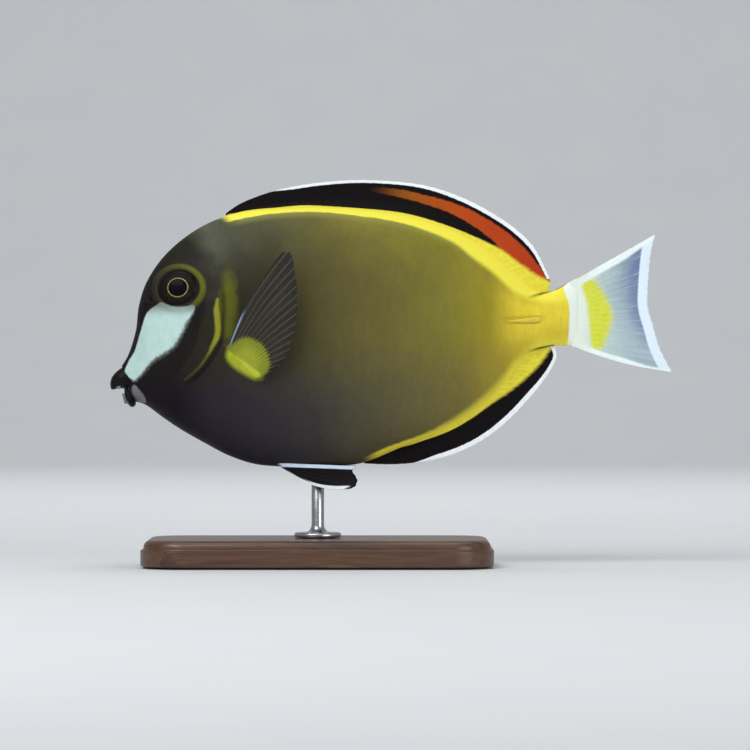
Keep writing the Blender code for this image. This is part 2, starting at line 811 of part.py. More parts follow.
def median_fin(name, span, margin, lean, edge, rays):
    """The dorsal or anal fin: its root follows the back or belly, and its rays lean back."""
    start, end = span
    inwards = -1.0 if edge == 0 else 1.0

    def centre(u, v):
        row = spline(BODY_ROWS, start + (end - start) * u)
        root = Vector((row[2 * edge], row[2 * edge + 1] + inwards * MEDIAN_FIN_SINK))
        tip = along(margin, u + lean * math.sin(math.pi * u**LEAN_REARWARD))
        spot = root.lerp(tip, v)
        return (spot.x, 0.0, spot.y)

    return blade(name, centre, across_fish, ridged(SPINE_RIDGE), rays, MEDIAN_FIN_ROWS)


def tail_fin():
    """The tail fin: rays that fan out from the end of the stalk to a hollow rear margin."""
    top, bottom = Vector(TAIL_ROOT_TOP), Vector(TAIL_ROOT_BOTTOM)

    def centre(u, v):
        spot = top.lerp(bottom, u).lerp(along(TAIL_MARGIN, u), v)
        droop = TAIL_BOW * u**3 * math.sin(math.pi * v)
        return (spot.x, 0.0, spot.y - droop)

    return blade("tail_fin", centre, across_fish, ridged(SOFT_RAY_RIDGE), TAIL_RAYS, TAIL_ROWS)


def pectoral_centre(flank, side):
    """The middle surface of a pectoral fin, which stands out from the flank and is slightly cupped."""
    top, bottom = Vector(PECTORAL_ROOT_TOP), Vector(PECTORAL_ROOT_BOTTOM)
    direction = Vector(PECTORAL_BOW_DIRECTION)

    def centre(u, v):
        root = top.lerp(bottom, u)
        tip = along(PECTORAL_MARGIN, u)
        bow = direction * PECTORAL_BOW * (1 - u) ** 1.5 * math.sin(math.pi * v)
        spot = root.lerp(tip, v) + bow
        (_, across, _), _ = flank.at(root.x, root.y, side)
        out = (tip - root).length * math.tan(PECTORAL_SPREAD) * v + PECTORAL_CUP * math.sin(math.pi * v)
        return (spot.x, across + side * (out - PECTORAL_SINK * (1 - v) ** 2), spot.y)

    return centre


def sheet_normal(centre, step=0.02):
    """The normal of a surface that is given as a function, by differences."""

    def normal(u, v):
        u, v = min(max(u, step), 1 - step), min(max(v, step), 1 - step)
        along_u = Vector(centre(u + step, v)) - Vector(centre(u - step, v))
        along_v = Vector(centre(u, v + step)) - Vector(centre(u, v - step))
        return tuple(along_u.cross(along_v).normalized())

    return normal


def pectoral_fin(name, flank, side):
    """One pectoral fin."""
    centre = pectoral_centre(flank, side)
    thickness = ridged(SOFT_RAY_RIDGE, PECTORAL_ROOT_SWELL)
    return blade(name, centre, sheet_normal(centre), thickness, PECTORAL_RAYS, PECTORAL_ROWS)


def pelvic_fin(name, side):
    """One pelvic fin, folded back below the belly and held a little away from the other."""
    front, rear = Vector(PELVIC_ROOT_FRONT), Vector(PELVIC_ROOT_REAR)

    def centre(u, v):
        spot = front.lerp(rear, u).lerp(along(PELVIC_MARGIN, u), v)
        spot.z -= PELVIC_BOW * (1 - u) ** 2 * math.sin(math.pi * v)
        return (spot.x, side * spot.y, spot.z)

    thickness = ridged(SPINE_RIDGE, PELVIC_ROOT_SWELL)
    return blade(name, centre, sheet_normal(centre), thickness, PELVIC_RAYS, PELVIC_ROWS)


def round_edges(work, edges, radius, segments):
    """Rounds some edges of a mesh in the making with a radius in millimetres."""
    bmesh.ops.bevel(work, geom=edges, offset=radius * MM, segments=segments, affect="EDGES", profile=0.5)


def stand_base():
    """A flat walnut base with rounded corners and a bevelled top edge."""
    work = bmesh.new()
    bmesh.ops.create_cube(work, size=1.0)
    size = Vector((BASE_LENGTH, BASE_WIDTH, BASE_HEIGHT)) * MM
    middle = (ROD_BEHIND - TOTAL_LENGTH / 2) * MM
    bmesh.ops.scale(work, verts=work.verts, vec=size)
    bmesh.ops.translate(work, verts=work.verts, vec=(middle, 0.0, size.z / 2))
    upright = [e for e in work.edges if abs(e.verts[0].co.z - e.verts[1].co.z) > size.z / 2]
    round_edges(work, upright, BASE_CORNER, BASE_CORNER_SEGMENTS)
    rim = [e for e in work.edges if min(v.co.z for v in e.verts) > size.z - GAP * MM]
    round_edges(work, rim, BASE_CHAMFER, BASE_CHAMFER_SEGMENTS)
    mesh = bpy.data.meshes.new("stand_base")
    work.to_mesh(mesh)
    work.free()
    obj = bpy.data.objects.new("stand_base", mesh)
    bpy.context.scene.collection.objects.link(obj)
    return obj


def stand_rod():
    """A steel rod turned in one piece with its round foot."""
    (_, _, bottom), (_, _, top) = rod_ends()
    neck = [(ROD_RADIUS + out, bottom + up) for out, up in FOOT_NECK]
    profile = [
        (0.0, top),
        (ROD_RADIUS - ROD_END_CHAMFER, top),
        (ROD_RADIUS, top - ROD_END_CHAMFER),
        *neck,
        (FOOT_RADIUS - FOOT_CHAMFER, bottom + FOOT_HEIGHT),
        (FOOT_RADIUS, bottom + FOOT_HEIGHT - FOOT_CHAMFER),
        (FOOT_RADIUS, bottom),
        (0.0, bottom),
    ]
    mesh = bpy.data.meshes.new("stand_rod")
    points = [Vector((radius, 0.0, AXIS_HEIGHT + up)) * MM for radius, up in profile]
    edges = [(i, i + 1) for i in range(len(points) - 1)]
    mesh.from_pydata(points, edges, [])
    rod = bpy.data.objects.new("stand_rod", mesh)
    bpy.context.scene.collection.objects.link(rod)
    turn = rod.modifiers.new("Turn", "SCREW")
    turn.steps = turn.render_steps = ROD_SIDES
    turn.use_merge_vertices = True
    turn.merge_threshold = 1e-5
    settle(rod)
    rod.data.transform(Matrix.Translation(Vector((ROD_BEHIND - TOTAL_LENGTH / 2, 0.0, 0.0)) * MM))
    face_outwards(rod)
    return rod


def finish(obj, finish_name, collection):
    """Names the object's mesh, gives it its material and puts it in the fish's collection."""
    colour, roughness = FINISHES[finish_name]
    material = bpy.data.materials.new(obj.name)
    material.use_nodes = True
    surface = material.node_tree.nodes["Principled BSDF"]
    surface.inputs["Base Color"].default_value = (*colour, 1.0)
    surface.inputs["Roughness"].default_value = roughness
    surface.inputs["Metallic"].default_value = 1.0 if finish_name == "steel" else 0.0
    obj.data.materials.clear()
    obj.data.materials.append(material)
    obj.data.name = obj.name
    obj.data.shade_smooth()
    obj.data.set_sharp_from_angle(angle=SHARP_ANGLE)
    bpy.context.scene.collection.objects.unlink(obj)
    collection.objects.link(obj)


def main():
    """Builds every piece of the fish and its stand."""
    for obj in list(bpy.data.objects):
        bpy.data.objects.remove(obj)
    fish = bpy.data.collections.new("japan_surgeonfish")
    bpy.context.scene.collection.children.link(fish)
    flank = Flank()

    def grown_body(name):
        return body_solid(name, grow=GAP)

    built = [
        (head_solid(flank), "head"),
        (torso_solid(), "flank"),
        (stalk_solid(flank), "stalk"),
        (upper_lip(grown_body), "lip"),
        (lower_lip(grown_body), "lip"),
        (stand_base(), "walnut"),
        (stand_rod(), "steel"),
    ]
    fins = [
        (median_fin("dorsal_fin", DORSAL_ROWS_SPAN, DORSAL_MARGIN, DORSAL_LEAN, 0, DORSAL_RAYS), "dark_fin"),
        (median_fin("anal_fin", ANAL_ROWS_SPAN, ANAL_MARGIN, ANAL_LEAN, 1, ANAL_RAYS), "dark_fin"),
        (tail_fin(), "tail_fin"),
    ]
    for side, word in ((LEFT, "left"), (RIGHT, "right")):
        fins.append((pectoral_fin(f"pectoral_fin_{word}", flank, side), "pectoral"))
        fins.append((pelvic_fin(f"pelvic_fin_{word}", side), "dark_fin"))
        built.append((eye_ball(f"eye_{word}", flank, side), "eye"))
        built.append((tail_spine(f"tail_spine_{word}", flank, side), "spine"))
    for fin, _ in fins:
        combine(fin, grown_body("body_cut"), "DIFFERENCE")
        keep_largest(fin)
    for obj, finish_name in built + fins:
        finish(obj, finish_name, fish)


main()
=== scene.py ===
"""The Japan surgeonfish on its display stand, in its finished form.

A place on the fish is (behind, across, up) in millimetres: the distance behind the tip of the snout, the
distance to the right of the mid plane, and the height above the level line through the middle of the flank.
One skin covers the head, the trunk and the tail stalk. The fins are thin webs with separate rays.
"""

import logging
import math
from dataclasses import dataclass, field
from enum import Enum

import bpy
import numpy as np
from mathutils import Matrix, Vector
from mathutils.bvhtree import BVHTree


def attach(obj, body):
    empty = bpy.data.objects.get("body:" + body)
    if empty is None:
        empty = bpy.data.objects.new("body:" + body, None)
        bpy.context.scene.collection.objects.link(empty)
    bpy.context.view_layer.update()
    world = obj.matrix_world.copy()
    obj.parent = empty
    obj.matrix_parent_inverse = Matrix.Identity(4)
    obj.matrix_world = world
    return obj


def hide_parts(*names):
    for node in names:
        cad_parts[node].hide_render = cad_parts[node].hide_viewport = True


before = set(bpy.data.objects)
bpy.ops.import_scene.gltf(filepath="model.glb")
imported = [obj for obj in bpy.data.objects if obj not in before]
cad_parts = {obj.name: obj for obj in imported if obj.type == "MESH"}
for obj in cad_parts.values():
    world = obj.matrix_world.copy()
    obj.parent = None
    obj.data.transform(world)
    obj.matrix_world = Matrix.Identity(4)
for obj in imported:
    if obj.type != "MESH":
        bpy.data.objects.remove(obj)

LOG = logging.getLogger("japan_surgeonfish")

MM = 0.001

# Where the frame's origin is behind the snout, and how high the level line is above the floor.
MIDDLE_BEHIND = 90.0
AXIS_HEIGHT = 74.0

# A distance that no mark reaches, the far end of the colour ramps, and how many points are measured at once.
FAR = 40.0
RAMP_END = 160.0
BATCH = 4096

ROOT_BODY = "root"
GRAIN = "skin_grain"
TUBES = "tapered_tubes"

Rows = tuple[tuple[float, ...], ...]
Pair = tuple[float, float]
Triple = tuple[float, float, float]
Array = np.ndarray

# Sections of the body from snout to tail: the point on the back, the point on the belly, and half the width.
BODY_ROWS: Rows = (
    (3.8, -9.9, 7.9, -21.2, 3.7), (6.1, -5.8, 11.8, -22.6, 5.5), (8.3, 1.6, 17.0, -26.4, 7.8),
    (9.3, 9.6, 23.0, -30.4, 9.6), (12.2, 17.9, 30.4, -34.6, 11.2), (18.6, 26.6, 38.1, -38.6, 12.6),
    (28.8, 34.4, 47.0, -41.4, 13.6), (41.6, 39.4, 57.6, -42.1, 14.0), (57.6, 41.0, 68.8, -41.8, 13.6),
    (75.2, 41.0, 80.0, -41.1, 12.6), (92.8, 39.1, 92.8, -36.2, 11.0), (108.2, 34.6, 105.6, -31.2, 9.1),
    (120.3, 28.0, 117.8, -24.0, 7.0), (129.6, 20.3, 127.4, -14.2, 5.3), (136.3, 14.3, 134.7, -6.2, 4.2),
    (141.2, 14.1, 140.8, -3.7, 3.4), (146.6, 16.7, 146.6, -3.5, 2.4), (149.6, 18.2, 149.6, -4.3, 1.2),
)


class Side(Enum):
    """The two sides of the fish, as the sign of the distance across it."""

    LEFT = -1
    RIGHT = 1

    @property
    def word(self) -> str:
        """The side's name in the names of nodes and pieces."""
        return self.name.lower()


class Slot(Enum):
    """Names of the material slots of the part."""

    FLANK = "skin_flank"
    LIP = "lip"
    DARK_FIN = "dark_fin"
    TAIL_FIN = "tail_fin"
    PECTORAL_FIN = "pectoral_fin"
    EYE = "eye"
    TAIL_SPINE = "tail_spine"
    WALNUT = "walnut"
    STEEL = "steel"


def catmull(rows: Rows | Array, positions: Array) -> Array:
    """Rows on a smooth curve through some rows.

    Args:
        rows: The rows that the curve goes through.
        positions: Real-numbered indices of the rows that are wanted.

    Returns:
        One row for each position.
    """
    table = np.asarray(rows, float)
    last = len(table) - 1
    positions = np.clip(positions, 0.0, last)
    index = np.minimum(positions.astype(int), last - 1)
    t = (positions - index)[:, None]
    a, b, c, d = (table[np.clip(index + step, 0, last)] for step in (-1, 0, 1, 2))
    return 0.5 * (2 * b + (c - a) * t + (2 * a - 5 * b + 4 * c - d) * t**2 + (3 * b - a - 3 * c + d) * t**3)


def curve(rows: Rows, count: int) -> Array:
    """Points of the smooth curve through some rows, spread evenly over its stretches."""
    return catmull(rows, np.linspace(0.0, len(rows) - 1, count))


def along(rows: Rows, shares: Array) -> Array:
    """Points at shares of the length of the smooth curve through some rows.

    Args:
        rows: The rows that the curve goes through.
        shares: Shares of its length, from 0 to 1.

    Returns:
        One point for each share.
    """
    points = curve(rows, 481)
    lengths = np.concatenate([[0.0], np.cumsum(np.linalg.norm(np.diff(points, axis=0), axis=1))])
    wanted = np.clip(shares, 0.0, 1.0) * lengths[-1]
    return np.stack([np.interp(wanted, lengths, column) for column in points.T], axis=1)


def ease(value: Array, low: float = 0.0, high: float = 1.0) -> Array:
    """0 below low, 1 above high and a smooth step between."""
    t = np.clip((value - low) / (high - low), 0.0, 1.0)
    return t * t * (3 - 2 * t)


def bell(value: Array, middle: float, width: float) -> Array:
    """1 at the middle, falling smoothly to nothing a few widths away."""
    return np.exp(-(((value - middle) / width) ** 2))


def line_height(line: Rows, behind: Array) -> Array:
    """The height of a smooth line, given from front to rear, at some distances behind the snout."""
    points = curve(line, 12 * len(line))
    return np.interp(behind, points[:, 0], points[:, 1])


def edge_gap(points: Array, line: Rows | Array) -> Array:
    """The distance of each point from an open line in the side view.

    Args:
        points: Side-view points, one a row.
        line: The line's points in order.

    Returns:
        One distance for each point.
    """
    start, stretch = np.asarray(line)[:-1], np.diff(line, axis=0)
    gaps = np.empty(len(points))
    for first in range(0, len(points), BATCH):
        spots = points[first : first + BATCH, None, :]
        share = np.clip(((spots - start) * stretch).sum(-1) / (stretch**2).sum(-1), 0.0, 1.0)
        nearest = start + share[..., None] * stretch
        gaps[first : first + BATCH] = np.linalg.norm(spots - nearest, axis=-1).min(axis=1)
    return gaps


def outline_gap(points: Array, corners: Rows) -> Array:
    """The distance of each point from a closed smooth outline in the side view, negative inside it.

    Args:
        points: Side-view points, one a row.
        corners: The corners that the outline goes through.

    Returns:
        One signed distance for each point.
    """
    outline = catmull(corners[-2:] + corners + corners[:3], 2.0 + np.arange(len(corners) * 8 + 1) / 8)
    gaps = edge_gap(points, outline)
    (x1, y1), (x2, y2) = outline[:-1].T, outline[1:].T
    slope = (x2 - x1) / np.where(np.abs(y2 - y1) < 1e-9, 1e-9, y2 - y1)
    for first in range(0, len(points), BATCH):
        x, y = points[first : first + BATCH, 0:1], points[first : first + BATCH, 1:2]
        crossed = ((y1 > y) != (y2 > y)) & (x < x1 + (y - y1) * slope)
        gaps[first : first + BATCH] *= 1.0 - 2.0 * (crossed.sum(axis=1) % 2)
    return gaps


def side_view(places: Array) -> Array:
    """The places as the side view shows them: behind and up."""
    return places[:, [0, 2]]


def grid_faces(rows: int, columns: int, wrap: bool) -> Array:
    """Four-sided faces over a grid of vertices that is stored row by row.

    Args:
        rows: How many rows of vertices there are.
        columns: How many vertices a row has.
        wrap: Whether each row is closed into a ring.

    Returns:
        One face of four vertex numbers a row.
    """
    i = np.arange(rows - 1)[:, None]
    j = np.arange(columns if wrap else columns - 1)[None, :]
    a, b = i * columns + j, i * columns + (j + 1) % columns
    return np.stack([a, b, b + columns, a + columns], axis=-1).reshape(-1, 4)


def link(name: str, data: bpy.types.ID) -> bpy.types.Object:
    """Makes an object in the scene's own collection.

    Args:
        name: The object's name.
        data: Its mesh, lamp or camera.

    Returns:
        The object.
    """
    obj = bpy.data.objects.new(name, data)
    bpy.context.scene.collection.objects.link(obj)
    return obj


def new_mesh(name: str, places: Array, edges: list, faces: list, fields: dict[str, Array]) -> bpy.types.Mesh:
    """A mesh of places on the fish.

    Args:
        name: The mesh's name.
        places: One place a row.
        edges: Pairs of vertex numbers.
        faces: Lists of vertex numbers.
        fields: A number for each vertex, by name.

    Returns:
        The mesh, in metres.
    """
    mesh = bpy.data.meshes.new(name)
    points = (places + [-MIDDLE_BEHIND, 0.0, AXIS_HEIGHT]) * MM
    mesh.from_pydata(points.tolist(), edges, faces)
    for key, values in fields.items():
        layer = mesh.attributes.new(key, "FLOAT", "POINT")
        layer.data.foreach_set("value", np.ascontiguousarray(values, np.float32))
    return mesh


@dataclass
class Shape:
    """A mesh in millimetres on the fish, before it becomes an object.

    Attributes:
        places: One place a row.
        faces: Arrays of vertex numbers, each of faces with the same number of corners.
        fields: A number for each vertex, by name, that the finish reads.
    """

    places: Array
    faces: list[Array]
    fields: dict[str, Array] = field(default_factory=dict)

    def inside_out(self) -> bool:
        """Whether the faces look inwards.

        Returns:
            True where the volume within them comes out negative.
        """
        volume = 0.0
        for faces in self.faces:
            first, *others = (self.places[corner] for corner in faces.T)
            volume += sum(float((first * np.cross(*pair)).sum()) for pair in zip(others, others[1:]))
        return volume < 0

    def build(self, name: str, material: bpy.types.Material) -> bpy.types.Object:
        """Makes the object, in metres, with its faces outwards and smoothly shaded.

        Args:
            name: The object's name.
            material: Its finish.

        Returns:
            The object, linked into the scene.
        """
        step = -1 if self.inside_out() else 1
        faces = [face for group in self.faces for face in group[:, ::step].tolist()]
        mesh = new_mesh(name, self.places, [], faces, self.fields)
        mesh.materials.append(material)
        mesh.shade_smooth()
        return link(name, mesh)


@dataclass
class Lines:
    """Open lines on the fish that become tubes.

    Attributes:
        runs: One array of places for each line.
        radii: The tube's radius in millimetres at each place of each line.
        fields: Numbers for each place of all lines in turn, by name.
    """

    runs: list[Array]
    radii: list[Array]
    fields: dict[str, Array] = field(default_factory=dict)

    def build(self, name: str, sides: int, material: bpy.types.Material) -> bpy.types.Object:
        """Makes one plain mesh object of all the tubes.

        Args:
            name: The object's name.
            sides: How many sides a tube has.
            material: Its finish.

        Returns:
            The object, with no modifier left.
        """
        edges, first = [], 0
        for run in self.runs:
            edges += [(first + i, first + i + 1) for i in range(len(run) - 1)]
            first += len(run)
        fields = {"ray_radius": np.concatenate(self.radii) * MM, **self.fields}
        obj = link(name, new_mesh(name, np.vstack(self.runs), edges, [], fields))
        modifier = obj.modifiers.new("Tubes", "NODES")
        modifier.node_group = bpy.data.node_groups[TUBES]
        values = {"Sides": sides, "Swell": 1.0, "Finish": material}
        for item in modifier.node_group.interface.items_tree:
            if item.name in values:
                modifier[item.identifier] = values[item.name]
        graph = bpy.context.evaluated_depsgraph_get()
        solid = obj.evaluated_get(graph)
        tubes = bpy.data.meshes.new_from_object(solid, preserve_all_data_layers=True, depsgraph=graph)
        obj.modifiers.clear()
        obj.data = tubes
        tubes.name = name
        return obj


def section_rings(rows: Array, points: int, fullness: float = 2.3, roundness: float = 0.54) -> Array:
    """Evenly spaced places round sections of a body that is alike on both sides.

    Args:
        rows: For each section its end on the back, its end on the belly, and half its width.
        points: How many places a section gets, an even number.
        fullness: How full the sides are.
        roundness: How blunt the back and belly are.

    Returns:
        An array of section, place round it and coordinate, from the top down the left side.
    """
    height = np.cos(np.linspace(0.0, math.pi, 721))
    share = np.clip(1.0 - np.abs(height) ** fullness, 0.0, None) ** roundness
    rings = np.empty((len(rows), points, 3))
    for ring, row in zip(rings, rows):
        middle, reach, width = (row[0:2] + row[2:4]) / 2, (row[0:2] - row[2:4]) / 2, row[4]
        profile = np.stack([np.linalg.norm(reach) * height, width * share], axis=1)
        arc = np.concatenate([[0.0], np.cumsum(np.linalg.norm(np.diff(profile, axis=0), axis=1))])
        wanted = np.linspace(0.0, arc[-1], points // 2 + 1)
        spots = middle + np.outer(np.interp(wanted, arc, height), reach)
        left = np.stack([spots[:, 0], -width * np.interp(wanted, arc, share), spots[:, 1]], axis=1)
        ring[:] = np.vstack([left, left[-2:0:-1] * [1.0, -1.0, 1.0]])
    return rings


def close_rings(rings: Array, first_top: Array, last_top: Array) -> Shape:
    """A closed shape of rings and one point beyond each end.

    Args:
        rings: An array of ring, place round it and coordinate.
        first_top: The point beyond the first ring.
        last_top: The point beyond the last ring.

    Returns:
        The shape, with the places of the rings in order and then the two points.
    """
    points, count = rings.shape[1], rings.shape[0] * rings.shape[1]
    j = np.arange(points)
    k = (j + 1) % points
    first = np.stack([k, j, np.full(points, count)], axis=1)
    last = np.stack([j + count - points, k + count - points, np.full(points, count + 1)], axis=1)
    places = np.vstack([rings.reshape(-1, 3), first_top, last_top])
    return Shape(places, [grid_faces(len(rings), points, wrap=True), np.vstack([first, last])])


def cap_rings(ring: Array, inner: Array, dome: float, count: int) -> tuple[Array, Array]:
    """Rings that close one end of a lofted body with a low dome.

    Args:
        ring: The end's ring.
        inner: The ring next to it, which tells what is outwards.
        dome: How far the dome's top stands out.
        count: How many rings the dome gets.

    Returns:
        The rings from the rim inwards, and the place of the dome's top.
    """
    centre = ring.mean(axis=0)
    outwards = centre - inner.mean(axis=0)
    outwards *= dome / np.linalg.norm(outwards)
    t = np.linspace(1.0, 0.0, count + 2)[1:-1, None, None]
    return centre + (ring - centre) * t + outwards * (1 - t**2), centre + outwards


def loft(rings: Array, domes: Pair, caps: int) -> Shape:
    """A closed body through some rings, with a low dome on each end.

    Args:
        rings: An array of ring, place round it and coordinate.
        domes: How far the first and the last end stand out.
        caps: How many rings each dome gets.

    Returns:
        The closed shape, whose rings are in order from the first dome to the last.
    """
    first, first_top = cap_rings(rings[0], rings[1], domes[0], caps)
    last, last_top = cap_rings(rings[-1], rings[-2], domes[1], caps)
    return close_rings(np.concatenate([first[::-1], rings, last]), first_top, last_top)


def tint(red: int, green: int, blue: int) -> Triple:
    """A colour in linear light from its screen values of 0 to 255."""
    values = (channel / 255 for channel in (red, green, blue))
    return tuple(v / 12.92 if v <= 0.04045 else ((v + 0.055) / 1.055) ** 2.4 for v in values)


class Value:
    """A number, vector or colour that a node puts out, with plain arithmetic on it."""

    def __init__(self, graph: "Graph", socket: bpy.types.NodeSocket) -> None:
        """Keeps the socket and the graph that it belongs to."""
        self.graph, self.socket = graph, socket

    def __add__(self, other: "Source") -> "Value":
        """The sum of two numbers."""
        return self.graph.math("ADD", self, other)

    def __sub__(self, other: "Source") -> "Value":
        """The difference of two numbers."""
        return self.graph.math("SUBTRACT", self, other)

    def __rsub__(self, other: float) -> "Value":
        """A plain number less this one."""
        return self.graph.math("SUBTRACT", other, self)

    def __mul__(self, other: "Source") -> "Value":
        """The product of two numbers."""
        return self.graph.math("MULTIPLY", self, other)

    def __truediv__(self, other: "Source") -> "Value":
        """The quotient of two numbers."""
        return self.graph.math("DIVIDE", self, other)

    def ease(self, low: float, high: float, start: float = 0.0, end: float = 1.0) -> "Value":
        """A smooth step from start to end while this number goes from low to high."""
        inputs = dict(enumerate((self, low, high, start, end)))
        return self.graph.node("ShaderNodeMapRange", 0, inputs, interpolation_type="SMOOTHSTEP")

    def shade(self, amount: "Source") -> "Value":
        """This colour or vector times a factor."""
        return self.graph.node("ShaderNodeVectorMath", 0, {0: self, "Scale": amount}, operation="SCALE")

    def other(self, name: str) -> "Value":
        """Another output of the same node."""
        return Value(self.graph, self.socket.node.outputs[name])


Source = Value | float | tuple[float, ...]
Inputs = dict[str | int, Source]


class Graph:
    """A node tree with one short call for each kind of node that the finishes use.

    Attributes:
        place: The place in the frame in millimetres, which the patterns follow.
    """

    place: Value

    def __init__(self, tree: bpy.types.NodeTree) -> None:
        """Keeps the tree that the nodes go into."""
        self.tree = tree

    def join(self, source: Source, socket: bpy.types.NodeSocket) -> None:
        """Links a value to an input, or sets the input to a plain one.

        Args:
            source: The value.
            socket: The input.
        """
        if isinstance(source, Value):
            self.tree.links.new(source.socket, socket)
        else:
            socket.default_value = (*source, 1.0) if socket.type == "RGBA" else source

    def node(self, kind: str, output: str | int, inputs: Inputs, **settings: object) -> Value:
        """Adds a node.

        Args:
            kind: The node's type.
            output: The output that is wanted.
            inputs: What feeds its inputs, by name or number.
            settings: Its other settings.

        Returns:
            The value of the output.
        """
        node = self.tree.nodes.new(kind)
        for name, setting in settings.items():
            setattr(node, name, setting)
        for name, source in inputs.items():
            self.join(source, node.inputs[name])
        return Value(self, node.outputs[output])

    def math(self, operation: str, *values: Source) -> Value:
        """The result of one operation on numbers."""
        return self.node("ShaderNodeMath", 0, dict(enumerate(values)), operation=operation)

    def field(self, name: str) -> Value:
        """A number that the mesh carries for each vertex."""
        return self.node("ShaderNodeAttribute", "Fac", {}, attribute_name=name)

    def axis(self, name: str) -> Value:
        """One of the place's three coordinates."""
        return self.node("ShaderNodeSeparateXYZ", name, {0: self.place})

    def stretched(self, *factors: float) -> Value:
        """The place with each of its coordinates times its own factor."""
        return self.node("ShaderNodeVectorMath", 0, {0: self.place, 1: factors}, operation="MULTIPLY")

    def vector(self, *parts: Source) -> Value:
        """A vector from three numbers."""
        return self.node("ShaderNodeCombineXYZ", 0, dict(enumerate(parts)))

    def noise(
        self, scale: float, detail: float = 3.0, vector: Value | None = None, distortion: float = 0.0
    ) -> Value:
        """Smooth noise from 0 to 1, over the place unless another vector is given."""
        inputs = {"Vector": vector or self.place, "Scale": scale, "Detail": detail, "Distortion": distortion}
        return self.node("ShaderNodeTexNoise", "Fac", inputs)

    def cells(self, vector: Value, scale: Source, randomness: float) -> Value:
        """The distance from the middle of the nearest cell."""
        inputs = {"Vector": vector, "Scale": scale, "Randomness": randomness}
        return self.node("ShaderNodeTexVoronoi", "Distance", inputs)

    def mix(self, share: Source, first: Source, second: Source) -> Value:
        """The first colour, going over to the second one."""
        inputs = {0: share, 6: first, 7: second}
        return self.node("ShaderNodeMix", 2, inputs, data_type="RGBA", clamp_factor=True)

    def layers(self, colour: Source, *coats: tuple[Source, Source]) -> Value:
        """A colour under some coats in turn.

        Args:
            colour: The colour below.
            coats: For each coat how far it covers, and its colour.

        Returns:
            The colour that shows.
        """
        for share, coat in coats:
            colour = self.mix(share, colour, coat)
        return colour

    def ramp(self, value: Value, end: float, stops: Rows) -> Value:
        """A colour that changes with a number through some stops.

        Args:
            value: The number.
            end: The number at the ramp's far end.
            stops: Numbers in rising order, each with the screen values of the colour there.

        Returns:
            The colour.
        """
        colour = self.node("ShaderNodeValToRGB", "Color", {"Fac": value / end})
        elements = colour.socket.node.color_ramp.elements
        while len(elements) < len(stops):
            elements.new(1.0)
        for element, (number, *channels) in zip(elements, stops):
            element.position, element.color = number / end, (*tint(*channels), 1.0)
        return colour

    def bump(self, height: Value, depth: float) -> Value:
        """A normal from a height of 0 to 1 that stands for a depth in millimetres."""
        return self.node("ShaderNodeBump", "Normal", {"Distance": depth * MM, "Height": height})


class Group(Graph):
    """A group of nodes with named inputs and outputs."""

    def __init__(self, name: str, kind: str, inputs: dict[str, str], outputs: dict[str, str]) -> None:
        """Makes the empty group.

        Args:
            name: The group's name.
            kind: The type of its tree.
            inputs: The type of each input, by name.
            outputs: The type of each output, by name.
        """
        super().__init__(bpy.data.node_groups.new(name, kind))
        for way, sockets in (("INPUT", inputs), ("OUTPUT", outputs)):
            for label, type_name in sockets.items():
                self.tree.interface.new_socket(label, in_out=way, socket_type=f"NodeSocket{type_name}")
        self.entry = self.tree.nodes.new("NodeGroupInput")
        self.leave = self.tree.nodes.new("NodeGroupOutput")

    def given(self, name: str) -> Value:
        """The value of one of the group's inputs."""
        return Value(self, self.entry.outputs[name])

    def give(self, name: str, value: Value) -> None:
        """Feeds one of the group's outputs."""
        self.join(value, self.leave.inputs[name])


def make_skin_grain() -> None:
    """Makes the shared effect of fine scales and mottling, with the outputs Shade and Relief."""
    inputs = {"Place": "Vector", "Scale": "Float", "Mottle": "Float"}
    group = Group(GRAIN, "ShaderNodeTree", inputs, {"Shade": "Float", "Relief": "Float"})
    group.place = group.given("Place")
    scales = group.cells(group.stretched(1.0, 1.0, 1.35), group.given("Scale"), 0.75)
    drift = group.noise(0.9, 3.0, group.stretched(0.55, 1.0, 0.16))
    fine = group.noise(1.6, 2.0)
    cloud = group.noise(0.07, 2.0) * 0.9 + (drift * 0.75 - 0.825)
    speckle = fine * 0.5 + (scales * -0.35 - 0.1)
    group.give("Shade", (cloud + speckle) * group.given("Mottle") + 1.0)
    group.give("Relief", scales * -0.8 + fine * 0.3)


def make_tube_nodes() -> None:
    """Makes the geometry nodes that turn lines into round tubes, whose radius is the field ray_radius."""
    inputs = {"Lines": "Geometry", "Sides": "Int", "Swell": "Float", "Finish": "Material"}
    group = Group(TUBES, "GeometryNodeTree", inputs, {"Tubes": "Geometry"})
    lines = group.node("GeometryNodeMeshToCurve", "Curve", {"Mesh": group.given("Lines")})
    circle = {"Resolution": group.given("Sides"), "Radius": 1.0}
    profile = group.node("GeometryNodeCurvePrimitiveCircle", "Curve", circle)
    name = {"Name": "ray_radius"}
    radius = group.node("GeometryNodeInputNamedAttribute", "Attribute", name, data_type="FLOAT")
    scale = radius * group.given("Swell")
    sweep = {"Curve": lines, "Profile Curve": profile, "Scale": scale, "Fill Caps": True}
    tubes = group.node("GeometryNodeCurveToMesh", "Mesh", sweep)
    smooth = group.node("GeometryNodeSetShadeSmooth", 0, {0: tubes})
    real = group.node("GeometryNodeRealizeInstances", 0, {"Geometry": smooth})
    finish = {"Geometry": real, "Material": group.given("Finish")}
    group.give("Tubes", group.node("GeometryNodeSetMaterial", 0, finish))


